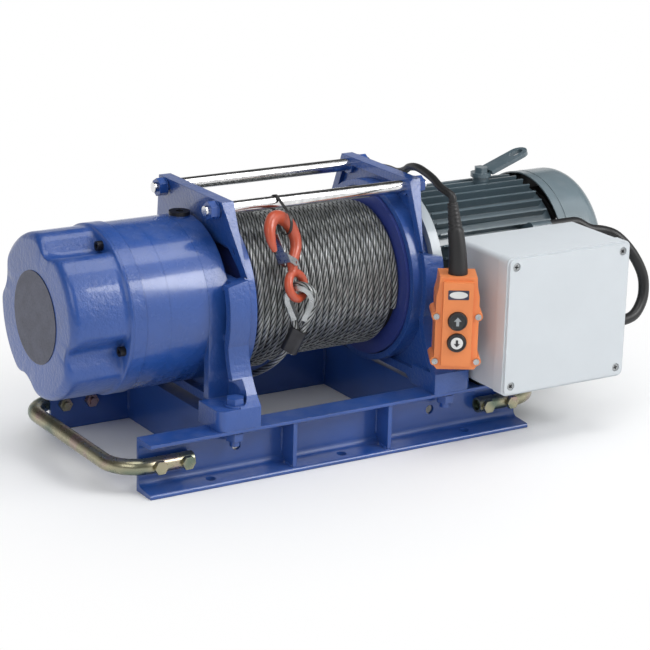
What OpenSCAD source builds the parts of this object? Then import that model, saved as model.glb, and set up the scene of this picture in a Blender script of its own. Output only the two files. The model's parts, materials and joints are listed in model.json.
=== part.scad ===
// Base-mounted electric wire rope winch with a push-button pendant.
// X runs along the drum axis from the gearbox (-X) to the motor (+X), Z is up.
// The origin is the centre of the base bolt pattern, on the underside of the rails.

/* [Base frame] */
// Length of the two channel rails
frame_l = 610; // [560:1:700]
// Clear distance between the webs of the two rails
rail_gap = 260; // [252:1:320]
// Height of the rail channel
rail_h = 75; // [70:1:90]
// Width of the channel flanges, over the web
rail_flange = 40; // [36:1:50]
// Thickness of the channel web
rail_web = 5; // [4:0.5:8]
// Mean thickness of the channel flanges
rail_flange_t = 7; // [6:0.5:9]
// Left crossmember's web, outwards of the left plate's inner face
left_cross_out = 42; // [30:1:60]
// Right crossmember's web, outwards of the right plate's inner face
right_cross_out = 7; // [0:1:20]
// Distance between the outer base bolts along the rails
base_bolt_x = 412; // [380:1:440]
// Diameter of the base bolt holes
base_bolt_d = 14; // [10:0.5:18]
// Position of the left stiffener along the rails
left_gusset_x = -83; // [-100:1:-60]
// Position of the right stiffener along the rails
right_gusset_x = 70; // [50:1:90]
// Thickness of the stiffeners
gusset_t = 6; // [4:0.5:10]
// Diameter of the cable holes in the rail webs
web_hole_d = 13; // [8:0.5:18]

/* [Handles] */
// Outside diameter of the handle tube
handle_d = 21.7; // [18:0.1:27.2]
// Wall of the handle tube
handle_wall = 2.8; // [1.6:0.1:3.5]
// Distance from the end of the rails to the middle of the grip
handle_out = 33; // [28:1:60]
// Radius of the two bends, on the middle of the tube
handle_bend_r = 46; // [36:1:60]
// Length of each handle leg that lies along the rail
handle_lap = 74; // [66:1:84]
// Distance from the rail end to the outer handle bolt
handle_bolt_in = 21; // [16:1:26]
// Distance between the two bolts of a handle leg
handle_bolt_pitch = 41; // [36:1:44]
// Thread diameter of the handle bolts
handle_bolt_d = 10; // [8:1:10]

/* [Side plates] */
// Height of the drum axis above the rails
axis_rise = 140; // [136:1:170]
// Clear distance between the two side plates
plate_gap = 280; // [274:1:300]
// Depth of the plate rim at its top
plate_top_t = 18; // [16:1:24]
// Depth of the plate rim at the drum axis
plate_rim_t = 31; // [26:1:36]
// Thickness of the rim, seen along the drum axis
rim_t = 12; // [9:0.5:16]
// Thickness of the plate inside its rim
plate_web_t = 12; // [9:0.5:14]
// Outer radius of the plate around the drum axis
plate_r = 139; // [136:1:150]
// Height of the plate's top edge over the drum axis
plate_top = 150; // [146:1:165]
// Half the width of the plate's top edge
plate_top_half = 88; // [84:1:96]
// Gap between the rails and the arch under each plate
arch_gap = 10; // [6:1:16]
// Length of each foot along the drum axis
foot_l = 63; // [58:1:70]
// Height of each foot
foot_h = 29; // [20:1:34]
// Length of each foot across the frame
foot_w = 58; // [50:1:64]
// Thread diameter of the foot bolts
foot_bolt_d = 14; // [12:1:16]

/* [Tie bars] */
// Diameter of the tie bars
tie_d = 18; // [14:0.5:22]
// Thread diameter at the ends of the tie bars
tie_thread_d = 14; // [10:1:14]
// Distance of each tie bar from the middle plane
tie_y = 72; // [66:1:74]
// Height of the tie bars over the drum axis
tie_z = 137; // [134:1:140]

/* [Drum and rope] */
// Radius of the drum barrel
barrel_r = 83.5; // [76:0.5:88]
// Wall of the drum barrel
barrel_t = 9; // [6:0.5:12]
// Radius of the drum flanges
flange_r = 120; // [116:0.5:121]
// Thickness of the drum flanges
flange_t = 7; // [5:0.5:9]
// Clear length of the barrel between the flanges
barrel_l = 242; // [220:1:244]
// Diameter of the wire rope
rope_d = 10; // [8:0.5:10]
// Distance between neighbouring turns
rope_pitch = 10.2; // [10.1:0.05:11]
// Full layers of rope on the drum
rope_layers = 2; // [1:1:2]
// Turns in the last, part-filled layer
top_turns = 5; // [2:1:12]
// Radius of the drum trunnions
trunnion_r = 42; // [36:0.5:46]

/* [Gearbox] */
// Radius of the gear housings
gear_case_r = 114; // [110:0.5:116]
// Width of the housing ring of the output stage
output_ring_l = 57; // [54:1:64]
// Width of the housing ring of the input stage
input_ring_l = 36; // [34:1:44]
// Width of the bearing plate behind the end cover
bearing_plate_l = 19; // [16:1:24]
// Length of the end cover
cover_l = 87; // [76:1:96]
// Radius of the cover's four flutes
flute_r = 28; // [20:1:34]
// Teeth of both sun gears
sun_teeth = 15;
// Teeth of all planet gears
planet_teeth = 21;
// Module of the gear teeth
gear_module = 3;
// Backlash between meshing teeth
backlash = 0.3; // [0.2:0.05:0.6]
// Radius of the drive shaft
shaft_r = 12; // [10:0.5:13]
// Radius of the planet pins
pin_r = 9; // [7:0.5:11]
// Radius of the name disc
disc_r = 63; // [50:1:66]

/* [Motor] */
// Length of the finned motor housing
motor_l = 215; // [190:1:240]
// Radius over the cooling fins
fin_r = 110; // [104:1:112]
// Number of cooling fins
fin_count = 40; // [30:2:48]
// Height of the cooling fins
fin_h = 13; // [8:1:16]
// Thickness of each fin
fin_t = 3; // [2:0.5:4]
// Radius of the motor flange
motor_flange_r = 125; // [120:1:128]
// Thickness of the motor flange
motor_flange_t = 15; // [10:1:18]
// Radius of the fan cover
fan_cover_r = 113; // [110:1:116]
// Length of the fan cover
fan_cover_l = 82; // [76:1:100]
// Wall of the fan cover
fan_cover_t = 2; // [1.5:0.5:3]

/* [Control box] */
// Width of the control box
box_w = 212; // [190:1:220]
// Height of the control box
box_h = 199; // [190:1:206]
// Depth of the control box with its lid
box_depth = 126; // [110:1:130]
// Depth of the lid
lid_depth = 24; // [18:1:40]
// Wall of the box
box_wall = 3.5; // [2.5:0.5:5]
// Corner radius of the box
box_corner_r = 9; // [6:1:14]
// Gap between the right plate's foot and the box
box_gap = 2; // [0:1:12]
// Height of the box's underside above the rails
box_rise = 7; // [5:1:15]

/* [Pendant] */
// Width of the pendant body
pendant_w = 59; // [56:1:70]
// Height of the pendant body
pendant_h = 131; // [124:1:150]
// Depth of the pendant body
pendant_d = 50; // [44:1:56]
// Radius of the push buttons
button_r = 13; // [10:0.5:14]
// Travel of the push buttons
button_travel = 3; // [2:0.5:4]

/* [Fits] */
// Radial clearance of shafts and pins in their bores
running_gap = 0.05; // [0.02:0.01:0.1]
// Clearance between moving pieces that pass each other
free_gap = 0.5; // [0.3:0.1:1]
// Clearance of fasteners in their holes, on the diameter
bolt_gap = 1; // [0.5:0.1:2]
// Radial clearance of threads in their nuts
nut_gap = 0.2; // [0.1:0.05:0.4]

/* [Hidden] */
$fn = 64;

frame_x = frame_l / 2;
axis_z = rail_h + axis_rise;
web_in = rail_gap / 2;
web_out = web_in + rail_web;
rail_y = web_in + rail_flange;
base_bolt_y = (web_out + rail_y) / 2;
plate_in = plate_gap / 2;
web_face = plate_in + plate_top_t - plate_web_t;
plate_out = web_face + plate_web_t;
rim_out = plate_in + plate_rim_t;
foot_out = plate_in + foot_l;
foot_bolt_x = plate_out + 12;
left_cross_x = -plate_in - left_cross_out;
right_cross_x = plate_in + right_cross_out;
foot_y = rail_y - foot_w;
arch_z = rail_h + arch_gap;
top_z = axis_z + plate_top;

// Gear geometry. One tooth count pair serves both planetary stages.
ring_teeth = sun_teeth + 2 * planet_teeth;
orbit_r = gear_module * (sun_teeth + planet_teeth) / 2;
ring_r = gear_module * ring_teeth / 2;
pressure = 20;
gear_w = 24;
case_face = -rim_out - 18;
output_ring_x = case_face - output_ring_l;
input_ring_x = output_ring_x - input_ring_l;
bearing_plate_x = input_ring_x - bearing_plate_l;
cover_x = bearing_plate_x - cover_l;
carrier_r = 72;
carrier_t = 11;
output_carrier_x = case_face - carrier_t - 1;
output_gear_x = output_carrier_x - free_gap - 34;
output_gear_w = 34;
input_carrier_x = output_gear_x - free_gap - 2 - carrier_t;
input_gear_x = input_carrier_x - free_gap - gear_w;

// Motor geometry
motor_face = plate_out + 7;
motor_x = motor_face + motor_flange_t;
motor_end = motor_x + 5 + motor_l;
fan_x = motor_end;
box_back = -fin_r - 3.5;
box_front = box_back - box_depth;
box_x = foot_out + box_gap;
box_mid_x = box_x + box_w / 2;
box_z = rail_h + box_rise;
box_mid_z = box_z + box_h / 2;

// Pendant geometry. Its front faces its own -Y, and the origin of its plan is its middle.
pendant_at = [plate_in + 9, -plate_r - 61, 0];
pendant_turn = -30;
pendant_z = axis_z - 23;
pendant_front_y = -pendant_d / 2;
pendant_split_y = pendant_front_y + pendant_d * 0.56;
pendant_back_y = pendant_d / 2;
up_z = pendant_z + 5;
down_z = pendant_z - 25.5;

wound_r = barrel_r + rope_d + (rope_layers - 1) * rope_d * 0.866;
top_r = wound_r + rope_d * 0.866;

module about_axis(x) {
  translate([x, 0, axis_z]) rotate([0, 90, 0]) children();
}
// A ring or disc about the drum axis, from x over a length l.
module disc(x, l, r, bore = 0) {
  about_axis(x) difference() {
    cylinder(h = l, r = r);
    if (bore > 0) translate([0, 0, -1]) cylinder(h = l + 2, r = bore);
  }
}
// An outline drawn in Y and Z, extruded from x along +X.
module across(x, l) {
  translate([x, 0, 0]) rotate([90, 0, 90]) linear_extrude(l) children();
}
// An outline drawn in X and Z, extruded from y towards -Y.
module along_y(y, l) {
  translate([0, y, 0]) rotate([90, 0, 0]) linear_extrude(l) children();
}
module both_y() {
  children();
  mirror([0, 1, 0]) children();
}
module both_x() {
  children();
  mirror([1, 0, 0]) children();
}
module hex_bar(af, l) {
  cylinder(h = l, r = af / 2 / cos(30), $fn = 6);
}
module round_rect(w, h, r) {
  square([w - 2 * r, h], center = true);
  square([w, h - 2 * r], center = true);
  for (i = [-1, 1], j = [-1, 1]) translate([i * (w / 2 - r), j * (h / 2 - r)]) circle(r, $fn = 32);
}
function arc(cx, cy, r, a0, a1, n) =
  [for (i = [0 : n]) let (a = a0 + (a1 - a0) * i / n) [cx + r * cos(a), cy + r * sin(a)]];
function flip(points) = [for (i = [len(points) - 1 : -1 : 0]) [-points[i][0], points[i][1]]];

// ---- Swept tubes ----
function unit(v) = v / norm(v);
function spline(p, n) = [for (i = [0 : len(p) - 2], j = [0 : n - 1])
  let (a = p[max(i - 1, 0)], b = p[i], c = p[i + 1], d = p[min(i + 2, len(p) - 1)], t = j / n)
  0.5 * (2 * b + (c - a) * t + (2 * a - 5 * b + 4 * c - d) * t * t
    + (3 * b - a - 3 * c + d) * t * t * t), p[len(p) - 1]];
function tangent(p, i) = unit(p[min(i + 1, len(p) - 1)] - p[max(i - 1, 0)]);
// Sides are carried along the path without twisting them.
function carried(p, i, u) = let (t = tangent(p, i)) unit(u - (u * t) * t);
function sides(p, i, u) = i >= len(p) ? [] : let (v = carried(p, i, u)) concat([v], sides(p, i + 1, v));
module sweep(p, r, n, first = [0, 0, 1]) {
  u = sides(p, 0, first);
  last = len(p) - 1;
  points = [for (i = [0 : last], k = [0 : n - 1])
    let (w = cross(tangent(p, i), u[i]), ri = is_list(r) ? r[i] : r, a = 360 * k / n)
    p[i] + ri * (cos(a) * u[i] + sin(a) * w)];
  walls = [for (i = [0 : last - 1], k = [0 : n - 1], s = [0, 1])
    let (a = i * n + k, b = i * n + (k + 1) % n) s == 0 ? [a, b, b + n] : [a, b + n, a + n]];
  ends = [[for (k = [0 : n - 1]) n - 1 - k], [for (k = [0 : n - 1]) last * n + k]];
  polyhedron(points, concat([for (f = walls) [f[2], f[1], f[0]]], [for (f = ends) [for (k = [n - 1 : -1 : 0]) f[k]]]));
}

// ---- Base frame ----
root_r = 8;
toe_r = 3.5;
flange_slope = 4;
// The channel outline, web on the left at 0, flanges to +, height from 0 to h.
function channel_half(h, w, web, t) =
  let (slope = tan(flange_slope), mid = (w + web) / 2, tip = t - (w - mid) * slope,
    root = t + (mid - web - root_r) * slope)
  concat([[0, 0], [w, 0]], arc(w - toe_r, tip - toe_r, toe_r, 0, 86, 4),
    arc(web + root_r, root + root_r, root_r, 266, 180, 5));
function channel(h, w, web, t) = let (low = channel_half(h, w, web, t))
  concat(low, [for (i = [len(low) - 1 : -1 : 0]) [low[i][0], h - low[i][1]]]);

module rail() {
  difference() {
    translate([-frame_x, web_in, 0]) rotate([90, 0, 90])
      linear_extrude(frame_l) polygon(channel(rail_h, rail_flange, rail_web, rail_flange_t));
    for (x = [-base_bolt_x / 2, 0, base_bolt_x / 2])
      translate([x, base_bolt_y, -1]) cylinder(h = 15, r = base_bolt_d / 2);
    for (x = [-foot_bolt_x, foot_bolt_x])
      translate([x, base_bolt_y, rail_h - 15]) cylinder(h = 16, r = (foot_bolt_d + bolt_gap) / 2);
    for (x = [-157, 157])
      translate([x, web_in - 1, 40]) rotate([-90, 0, 0]) cylinder(h = rail_web + 2, r = web_hole_d / 2);
    for (s = [-1, 1], x = handle_bolt_xs())
      translate([s * x, web_in - 1, handle_z]) rotate([-90, 0, 0])
        cylinder(h = rail_web + 2, r = (handle_bolt_d + bolt_gap) / 2);
  }
}
module front_rail() { color("royalblue") mirror([0, 1, 0]) rail(); }
module rear_rail() { color("royalblue") rail(); }

// Stiffeners fill the channel between its sloped flanges; their inner corners are sniped.
module rail_gussets() {
  slope = tan(flange_slope);
  mid = (rail_flange + rail_web) / 2;
  tip_z = rail_flange_t - (rail_flange - mid) * slope;
  snipe = root_r + 3;
  snipe_z = rail_flange_t + (mid - rail_web - snipe) * slope;
  toe = rail_flange - toe_r - 1;
  toe_z = rail_flange_t - (toe - mid) * slope;
  low = [[rail_web, snipe_z + snipe], [rail_web + snipe, snipe_z], [toe, toe_z]];
  outline = concat(low, [for (i = [2 : -1 : 0]) [low[i][0], rail_h - low[i][1]]]);
  color("royalblue") both_y() for (x = [left_gusset_x, right_gusset_x])
    translate([x - gusset_t / 2, web_in, 0]) rotate([90, 0, 90]) linear_extrude(gusset_t) polygon(outline);
}
module crossmember(x) {
  color("royalblue") translate([x, rail_gap / 2, 0]) rotate([90, 0, 0])
    linear_extrude(rail_gap) polygon(channel(rail_h, rail_flange, rail_web, rail_flange_t));
}
module left_crossmember() { crossmember(left_cross_x); }
module right_crossmember() { crossmember(right_cross_x); }

// ---- Handles ----
handle_z = rail_h / 2 + 0.5;
handle_seat = 0.5;
handle_y = web_out + handle_d / 2 - handle_seat;
handle_x = frame_x + handle_out;
function handle_bolt_xs() = [frame_x - handle_bolt_in, frame_x - handle_bolt_in - handle_bolt_pitch];
module handle_shape(r) {
  leg_end = frame_x - handle_lap;
  bend_x = handle_x - handle_bend_r;
  bend_y = handle_y - handle_bend_r;
  both_y() translate([leg_end, handle_y, 0]) rotate([0, 90, 0]) cylinder(h = bend_x - leg_end, r = r);
  both_y() translate([bend_x, bend_y, 0]) rotate_extrude(angle = 90) translate([handle_bend_r, 0]) circle(r);
  translate([handle_x, bend_y, 0]) rotate([90, 0, 0]) cylinder(h = 2 * bend_y, r = r);
}
module handle_bore(r) {
  leg_end = frame_x - handle_lap;
  bend_x = handle_x - handle_bend_r;
  bend_y = handle_y - handle_bend_r;
  both_y() translate([leg_end - 1, handle_y, 0]) rotate([0, 90, 0]) cylinder(h = bend_x - leg_end + 1, r = r);
  both_y() translate([bend_x, bend_y, 0]) rotate_extrude(angle = 90) translate([handle_bend_r, 0]) circle(r);
  translate([handle_x, bend_y, 0]) rotate([90, 0, 0]) cylinder(h = 2 * bend_y, r = r);
}
// The tube is flattened where it seats on the rail and under each bolt head.
head_seat = handle_y + handle_d / 2 - 0.8;
module handle() {
  color("goldenrod") translate([0, 0, handle_z]) difference() {
    handle_shape(handle_d / 2);
    handle_bore(handle_d / 2 - handle_wall);
    both_y() translate([frame_x - handle_lap - 1, web_out - 5, -handle_d])
      cube([handle_lap + 1, 5, 2 * handle_d]);
    both_y() for (x = handle_bolt_xs()) translate([x, web_in, 0]) rotate([-90, 0, 0])
      cylinder(h = 40, r = (handle_bolt_d + bolt_gap) / 2);
    both_y() for (x = handle_bolt_xs()) translate([x, head_seat, 0]) rotate([-90, 0, 0])
      cylinder(h = 10, r = 11);
  }
}
module right_handle() { handle(); }
module left_handle() { mirror([1, 0, 0]) handle(); }
bolt_head_af = 17;
module handle_bolts() {
  color("khaki") both_x() both_y() for (x = handle_bolt_xs()) translate([x, 0, handle_z]) rotate([-90, 0, 0]) {
    translate([0, 0, head_seat]) hex_bar(bolt_head_af, 6.4);
    translate([0, 0, web_in - 12]) cylinder(h = head_seat - web_in + 12, r = handle_bolt_d / 2);
    translate([0, 0, web_in - 8]) difference() {
      hex_bar(bolt_head_af, 8);
      translate([0, 0, -1]) cylinder(h = 10, r = handle_bolt_d / 2 + nut_gap);
    }
  }
}

// ---- Side plates ----
// The plate outline, drawn in Y and Z, inset by d from the casting's edge.
function flank_angle() = let (far = norm([plate_top_half, plate_top]))
  atan2(plate_top, plate_top_half) - acos(plate_r / far);
waist_angle = -15;
function bezier(a, b, c, n) = [for (i = [1 : n]) let (t = i / n) a * (1 - t) * (1 - t) + 2 * b * t * (1 - t) + c * t * t];
function plate_half(d) =
  let (a = flank_angle(), r = plate_r - d, top = plate_top - d,
    corner = (r - top * sin(a)) / cos(a), waist = [r * cos(waist_angle), axis_z + r * sin(waist_angle)],
    foot_top = [rail_y - d, rail_h + foot_h], bend = [waist[0] + 4, (waist[1] + foot_top[1]) / 2 - 6],
    floor = d > 0 ? arch_z + d : arch_z)
  concat([[0, floor], [foot_y - 16, floor], [foot_y, d > 0 ? floor : rail_h], [rail_y - d, d > 0 ? floor : rail_h]],
    [foot_top], [for (i = [9 : -1 : 0]) let (t = i / 10) waist * (1 - t) * (1 - t) + 2 * bend * t * (1 - t) + foot_top * t * t],
    [for (i = [1 : 24]) let (b = waist_angle + (a - waist_angle) * i / 24) [r * cos(b), axis_z + r * sin(b)]],
    [[corner, axis_z + top]]);
module plate_outline(d = 0) {
  polygon(concat(plate_half(d), flip(plate_half(d))));
}
boss_r = 15;
ring_face = plate_in - 15;
ring_in = flange_r + 1.2;
ring_out = ring_in + 9;
bush_r = trunnion_r + 9;
// The pattern both plates share, as the plate on the +X side.
module plate_casting(rib_start) {
  difference() {
    union() {
      across(web_face, plate_web_t) plate_outline();
      across(plate_in, plate_rim_t) difference() {
        plate_outline();
        plate_outline(rim_t);
      }
      both_y() translate([plate_in, foot_y, rail_h]) cube([foot_l, foot_w, foot_h]);
      both_y() translate([foot_bolt_x, base_bolt_y, rail_h + foot_h]) cylinder(h = 3, r = 15);
      both_y() translate([plate_in, tie_y, axis_z + tie_z]) rotate([0, 90, 0])
        cylinder(h = plate_top_t, r = boss_r - 2);
      disc(ring_face, web_face - ring_face + 1, ring_out, ring_in);
      for (a = [64, 42, 20, -14]) both_y() translate([plate_out, 0, axis_z]) rotate([a, 0, 0])
        rotate([90, 0, 90]) linear_extrude(8) translate([rib_start, -3.5]) square([plate_r - 8 - rib_start, 7]);
    }
    // The rim grows from its top depth to its full depth.
    translate([plate_in + plate_top_t, -plate_r, top_z]) rotate([0, atan2(plate_rim_t - plate_top_t, 70), 0])
      translate([0, 0, -100]) cube([60, 2 * plate_r, 140]);
    both_y() translate([foot_bolt_x, base_bolt_y, rail_h - 1])
      cylinder(h = foot_h + 6, r = (foot_bolt_d + bolt_gap) / 2);
    both_y() translate([foot_bolt_x, base_bolt_y, rail_h + foot_h + 3]) cylinder(h = 30, r = 15);
    both_y() translate([plate_in - 1, tie_y, axis_z + tie_z]) rotate([0, 90, 0])
      cylinder(h = plate_rim_t, r = (tie_thread_d + bolt_gap) / 2);
    // The feet's outer corners are rounded off.
    both_y() translate([foot_out, rail_y, rail_h - 1]) difference() {
      translate([-12, -12, 0]) cube([13, 13, foot_h + 2]);
      translate([-12, -12, -1]) cylinder(h = foot_h + 4, r = 12);
    }
    about_axis(web_face - 30) cylinder(h = 90, r = bush_r);
  }
}
module right_side_plate() {
  color("royalblue") {
    difference() {
      union() {
        plate_casting(motor_flange_r + 2);
        disc(plate_out - 1, motor_face - plate_out + 1, gear_case_r, bush_r);
      }
      disc(motor_face, foot_l, motor_flange_r + 1);
      for (k = [0 : 5]) rotate_about_axis(60 * k + 30) translate([motor_face - 30, 0, axis_z + 100]) rotate([0, 90, 0])
        cylinder(h = 40, r = motor_bolt_d / 2);
    }
  }
}
module left_side_plate() {
  color("royalblue") mirror([1, 0, 0]) difference() {
    union() {
      plate_casting(gear_case_r - 10);
      disc(plate_out - 1, -case_face - plate_out + 1, gear_case_r, bush_r);
      // Two walls carry the gear housing down to the feet.
      both_y() translate([plate_out - 1, gear_case_r - 15, rail_h + foot_h - 1])
        cube([-case_face - plate_out, 13, axis_z - rail_h - foot_h]);
      translate([plug_x, 0, plug_z - 12]) cylinder(h = 12, r = 14);
    }
    translate([plug_x, 0, plug_z - 11]) cylinder(h = 12, r = 8 + nut_gap);
    about_axis(web_face - 30) cylinder(h = 90, r = bush_r);
  }
}
module rotate_about_axis(a) {
  translate([0, 0, axis_z]) rotate([a, 0, 0]) translate([0, 0, -axis_z]) children();
}
foot_head_af = 22;
module foot_bolts() {
  color("royalblue") both_x() both_y() translate([foot_bolt_x, base_bolt_y, 0]) {
    translate([0, 0, rail_h + foot_h + 3]) hex_bar(foot_head_af, 9);
    translate([0, 0, rail_h - rail_flange_t - 20]) cylinder(h = foot_h + 23 + rail_flange_t, r = foot_bolt_d / 2);
  }
}
nut_z = rail_h - rail_flange_t - 1;
module foot_nuts() {
  color("royalblue") both_x() both_y() translate([foot_bolt_x, base_bolt_y, nut_z - 11]) difference() {
    hex_bar(foot_head_af, 11);
    translate([0, 0, -1]) cylinder(h = 13, r = foot_bolt_d / 2);
  }
}

// ---- Tie bars ----
tie_nut_x = plate_in + plate_top_t + 1.5;
module tie_bar(y) {
  color("gainsboro") translate([0, y, axis_z + tie_z]) rotate([0, 90, 0]) {
    translate([0, 0, -plate_in]) cylinder(h = plate_gap, r = tie_d / 2);
    translate([0, 0, -tie_nut_x - 16]) cylinder(h = 2 * tie_nut_x + 32, r = tie_thread_d / 2);
  }
}
module front_tie_bar() { tie_bar(-tie_y); }
module rear_tie_bar() { tie_bar(tie_y); }
module tie_bar_nuts() {
  color("royalblue") both_x() both_y() translate([tie_nut_x, tie_y, axis_z + tie_z]) rotate([0, 90, 0])
    difference() {
      union() {
        hex_bar(foot_head_af, 11);
        translate([0, 0, -1.5]) cylinder(h = 1.5, r = 13);
      }
      translate([0, 0, -2]) cylinder(h = 14, r = tie_thread_d / 2);
    }
}

// ---- Drum and rope ----
drum_x = barrel_l / 2;
trunnion_left = -output_carrier_x - carrier_t;
module drum() {
  color("midnightblue") difference() {
    union() {
      disc(-drum_x, barrel_l, barrel_r, barrel_r - barrel_t);
      both_x() disc(drum_x, flange_t, flange_r);
      both_x() disc(drum_x - 12, 13, barrel_r - 1);
      disc(-trunnion_left, trunnion_left - drum_x, trunnion_r);
      disc(drum_x, plate_out - drum_x, trunnion_r);
    }
    disc(-trunnion_left - 1, 2 * trunnion_left + 2, shaft_r + 2);
  }
}
turns = floor((barrel_l - rope_d) / rope_pitch) + 1;
first_turn = -(turns - 1) * rope_pitch / 2;
module wound_rope() {
  color("darkgray") about_axis(0) rotate_extrude($fn = 96) {
    translate([barrel_r, -drum_x + 0.01]) square([wound_r - barrel_r - rope_d / 2, barrel_l - 0.02]);
    translate([wound_r - rope_d / 2 - 1, first_turn - rope_pitch * 0.3])
      square([rope_d * 0.866 + 1, (top_turns - 0.4) * rope_pitch]);
    for (i = [0 : turns - 1]) translate([wound_r - rope_d / 2, first_turn + i * rope_pitch]) circle(rope_d / 2, $fn = 24);
    for (i = [0 : top_turns - 1])
      translate([top_r - rope_d / 2, first_turn + (i + 0.3) * rope_pitch]) circle(rope_d / 2, $fn = 24);
  }
}
module drum_bushes() {
  color("peru") {
    disc(-case_face_in, case_face_in - plate_in, bush_r, trunnion_r + running_gap);
    disc(plate_in, plate_out - plate_in, bush_r, trunnion_r + running_gap);
  }
}
case_face_in = -case_face - 3;

// ---- Gearing ----
// Half the angle of a tooth at radius r on an involute gear of z teeth.
function inv(a) = tan(a) * 180 / PI - a;
function tooth_half(z, r, extra) = let (p = gear_module * z / 2, base = p * cos(pressure))
  90 / z + extra / p * 90 / PI + inv(pressure) - inv(acos(min(1, base / max(r, base))));
function gear_points(z, root, tip, extra) = let (base = gear_module * z / 2 * cos(pressure), low = max(root, base))
  [for (k = [0 : z - 1]) let (a = 360 * k / z)
    each concat(
      [for (r = [root, low + (tip - low) * 0.15, low + (tip - low) * 0.55, tip]) let (b = a - tooth_half(z, r, extra)) [r * cos(b), r * sin(b)]],
      [for (r = [tip, low + (tip - low) * 0.55, low + (tip - low) * 0.15, root]) let (b = a + tooth_half(z, r, extra)) [r * cos(b), r * sin(b)]])];
module gear(z, w, bore) {
  p = gear_module * z / 2;
  difference() {
    linear_extrude(w) polygon(gear_points(z, p - 1.25 * gear_module, p + gear_module, -backlash / 2));
    translate([0, 0, -1]) cylinder(h = w + 2, r = bore);
  }
}
module ring_gear(x, l) {
  color("royalblue") about_axis(x) difference() {
    cylinder(h = l, r = gear_case_r, $fn = 96);
    translate([0, 0, -1]) linear_extrude(l + 2)
      polygon(gear_points(ring_teeth, ring_r - gear_module, ring_r + 1.25 * gear_module, backlash / 2));
  }
}
module input_ring_gear() { ring_gear(input_ring_x, input_ring_l); }
module output_ring_gear() { ring_gear(output_ring_x, output_ring_l); }
module planet(x, w, k) {
  color("silver") about_axis(x) rotate(120 * k) translate([orbit_r, 0, 0])
    gear(planet_teeth, w, pin_r + running_gap);
}
module input_planet_1() { planet(input_gear_x, gear_w, 0); }
module input_planet_2() { planet(input_gear_x, gear_w, 1); }
module input_planet_3() { planet(input_gear_x, gear_w, 2); }
module output_planet_1() { planet(output_gear_x, output_gear_w, 0); }
module output_planet_2() { planet(output_gear_x, output_gear_w, 1); }
module output_planet_3() { planet(output_gear_x, output_gear_w, 2); }
module carrier(x, pin_l, bore) {
  disc(x, carrier_t, carrier_r, bore);
  for (k = [0 : 2]) about_axis(x - pin_l) rotate(120 * k) translate([orbit_r, 0, 0]) cylinder(h = pin_l + 1, r = pin_r);
}
module output_carrier() { color("dimgray") carrier(output_carrier_x, output_gear_w + 1, shaft_r + 2); }
// The input carrier has the output sun gear on its hub.
module input_carrier() {
  color("dimgray") {
    carrier(input_carrier_x, gear_w + 1, shaft_r + 1);
    about_axis(input_carrier_x + carrier_t - 1) gear(sun_teeth, output_gear_w + 2, shaft_r + 1);
  }
}
module bearing_plate() {
  color("royalblue") difference() {
    disc(bearing_plate_x, bearing_plate_l, gear_case_r + 2, shaft_r + running_gap);
    for (a = flute_angles) rotate_about_axis(a) translate([bearing_plate_x - 1, 0, axis_z + screw_r]) rotate([0, 90, 0])
      cylinder(h = bearing_plate_l + 2, r = screw_thread_r);
  }
}

// The cover is a fluted bell: four round flutes run its whole length.
flute_angles = [18, 108, 198, 288];
screw_r = 101;
cover_r = 113;
cover_edge = 9;
cover_wall = 4;
flute_at = 118;
module flute(a, x, l) {
  rotate_about_axis(a) translate([x, 0, axis_z + flute_at]) rotate([0, 90, 0]) cylinder(h = l, r = flute_r);
}
module gear_end_cover() {
  color("royalblue") difference() {
    union() {
      difference() {
        about_axis(cover_x) rotate_extrude($fn = 96) difference() {
          polygon(concat([[0, 0]], arc(cover_r - cover_edge, cover_edge, cover_edge, -90, 0, 5), [[cover_r, cover_l], [0, cover_l]]));
          translate([-1, cover_edge]) square([flute_at - flute_r - cover_wall + 1, cover_l]);
        }
        for (a = flute_angles) flute(a, cover_x - 1, cover_l + 2);
      }
      disc(bearing_plate_x - 5, 5, gear_case_r + 2, flute_at - flute_r - cover_wall);
    }
    disc(cover_x - 1, 2, disc_r + 0.5);
    for (a = flute_angles) rotate_about_axis(a) translate([bearing_plate_x - 6, 0, axis_z + screw_r])
      rotate([0, 90, 0]) cylinder(h = 8, r = screw_thread_r);
  }
}
screw_thread_r = 4.3;
module cover_screws() {
  color("black") for (a = flute_angles) rotate_about_axis(a)
    translate([bearing_plate_x - 5, 0, axis_z + screw_r]) rotate([0, 90, 0]) difference() {
      union() {
        translate([0, 0, -8]) cylinder(h = 8, r = 6.5);
        cylinder(h = 5 + bearing_plate_l, r = 4);
      }
      translate([0, 0, -9]) hex_bar(6, 5);
    }
}
module name_disc() { color("dimgray") disc(cover_x - 1, 2, disc_r); }
plug_x = (plate_out - case_face) / 2;
plug_z = axis_z + gear_case_r + 2;
module oil_plug() {
  color("black") translate([-plug_x, 0, plug_z]) difference() {
    union() {
      translate([0, 0, -8]) cylinder(h = 9, r = 8);
      cylinder(h = 5, r = 14.5);
    }
    translate([0, 0, 1]) hex_bar(10, 5);
  }
}

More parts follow.
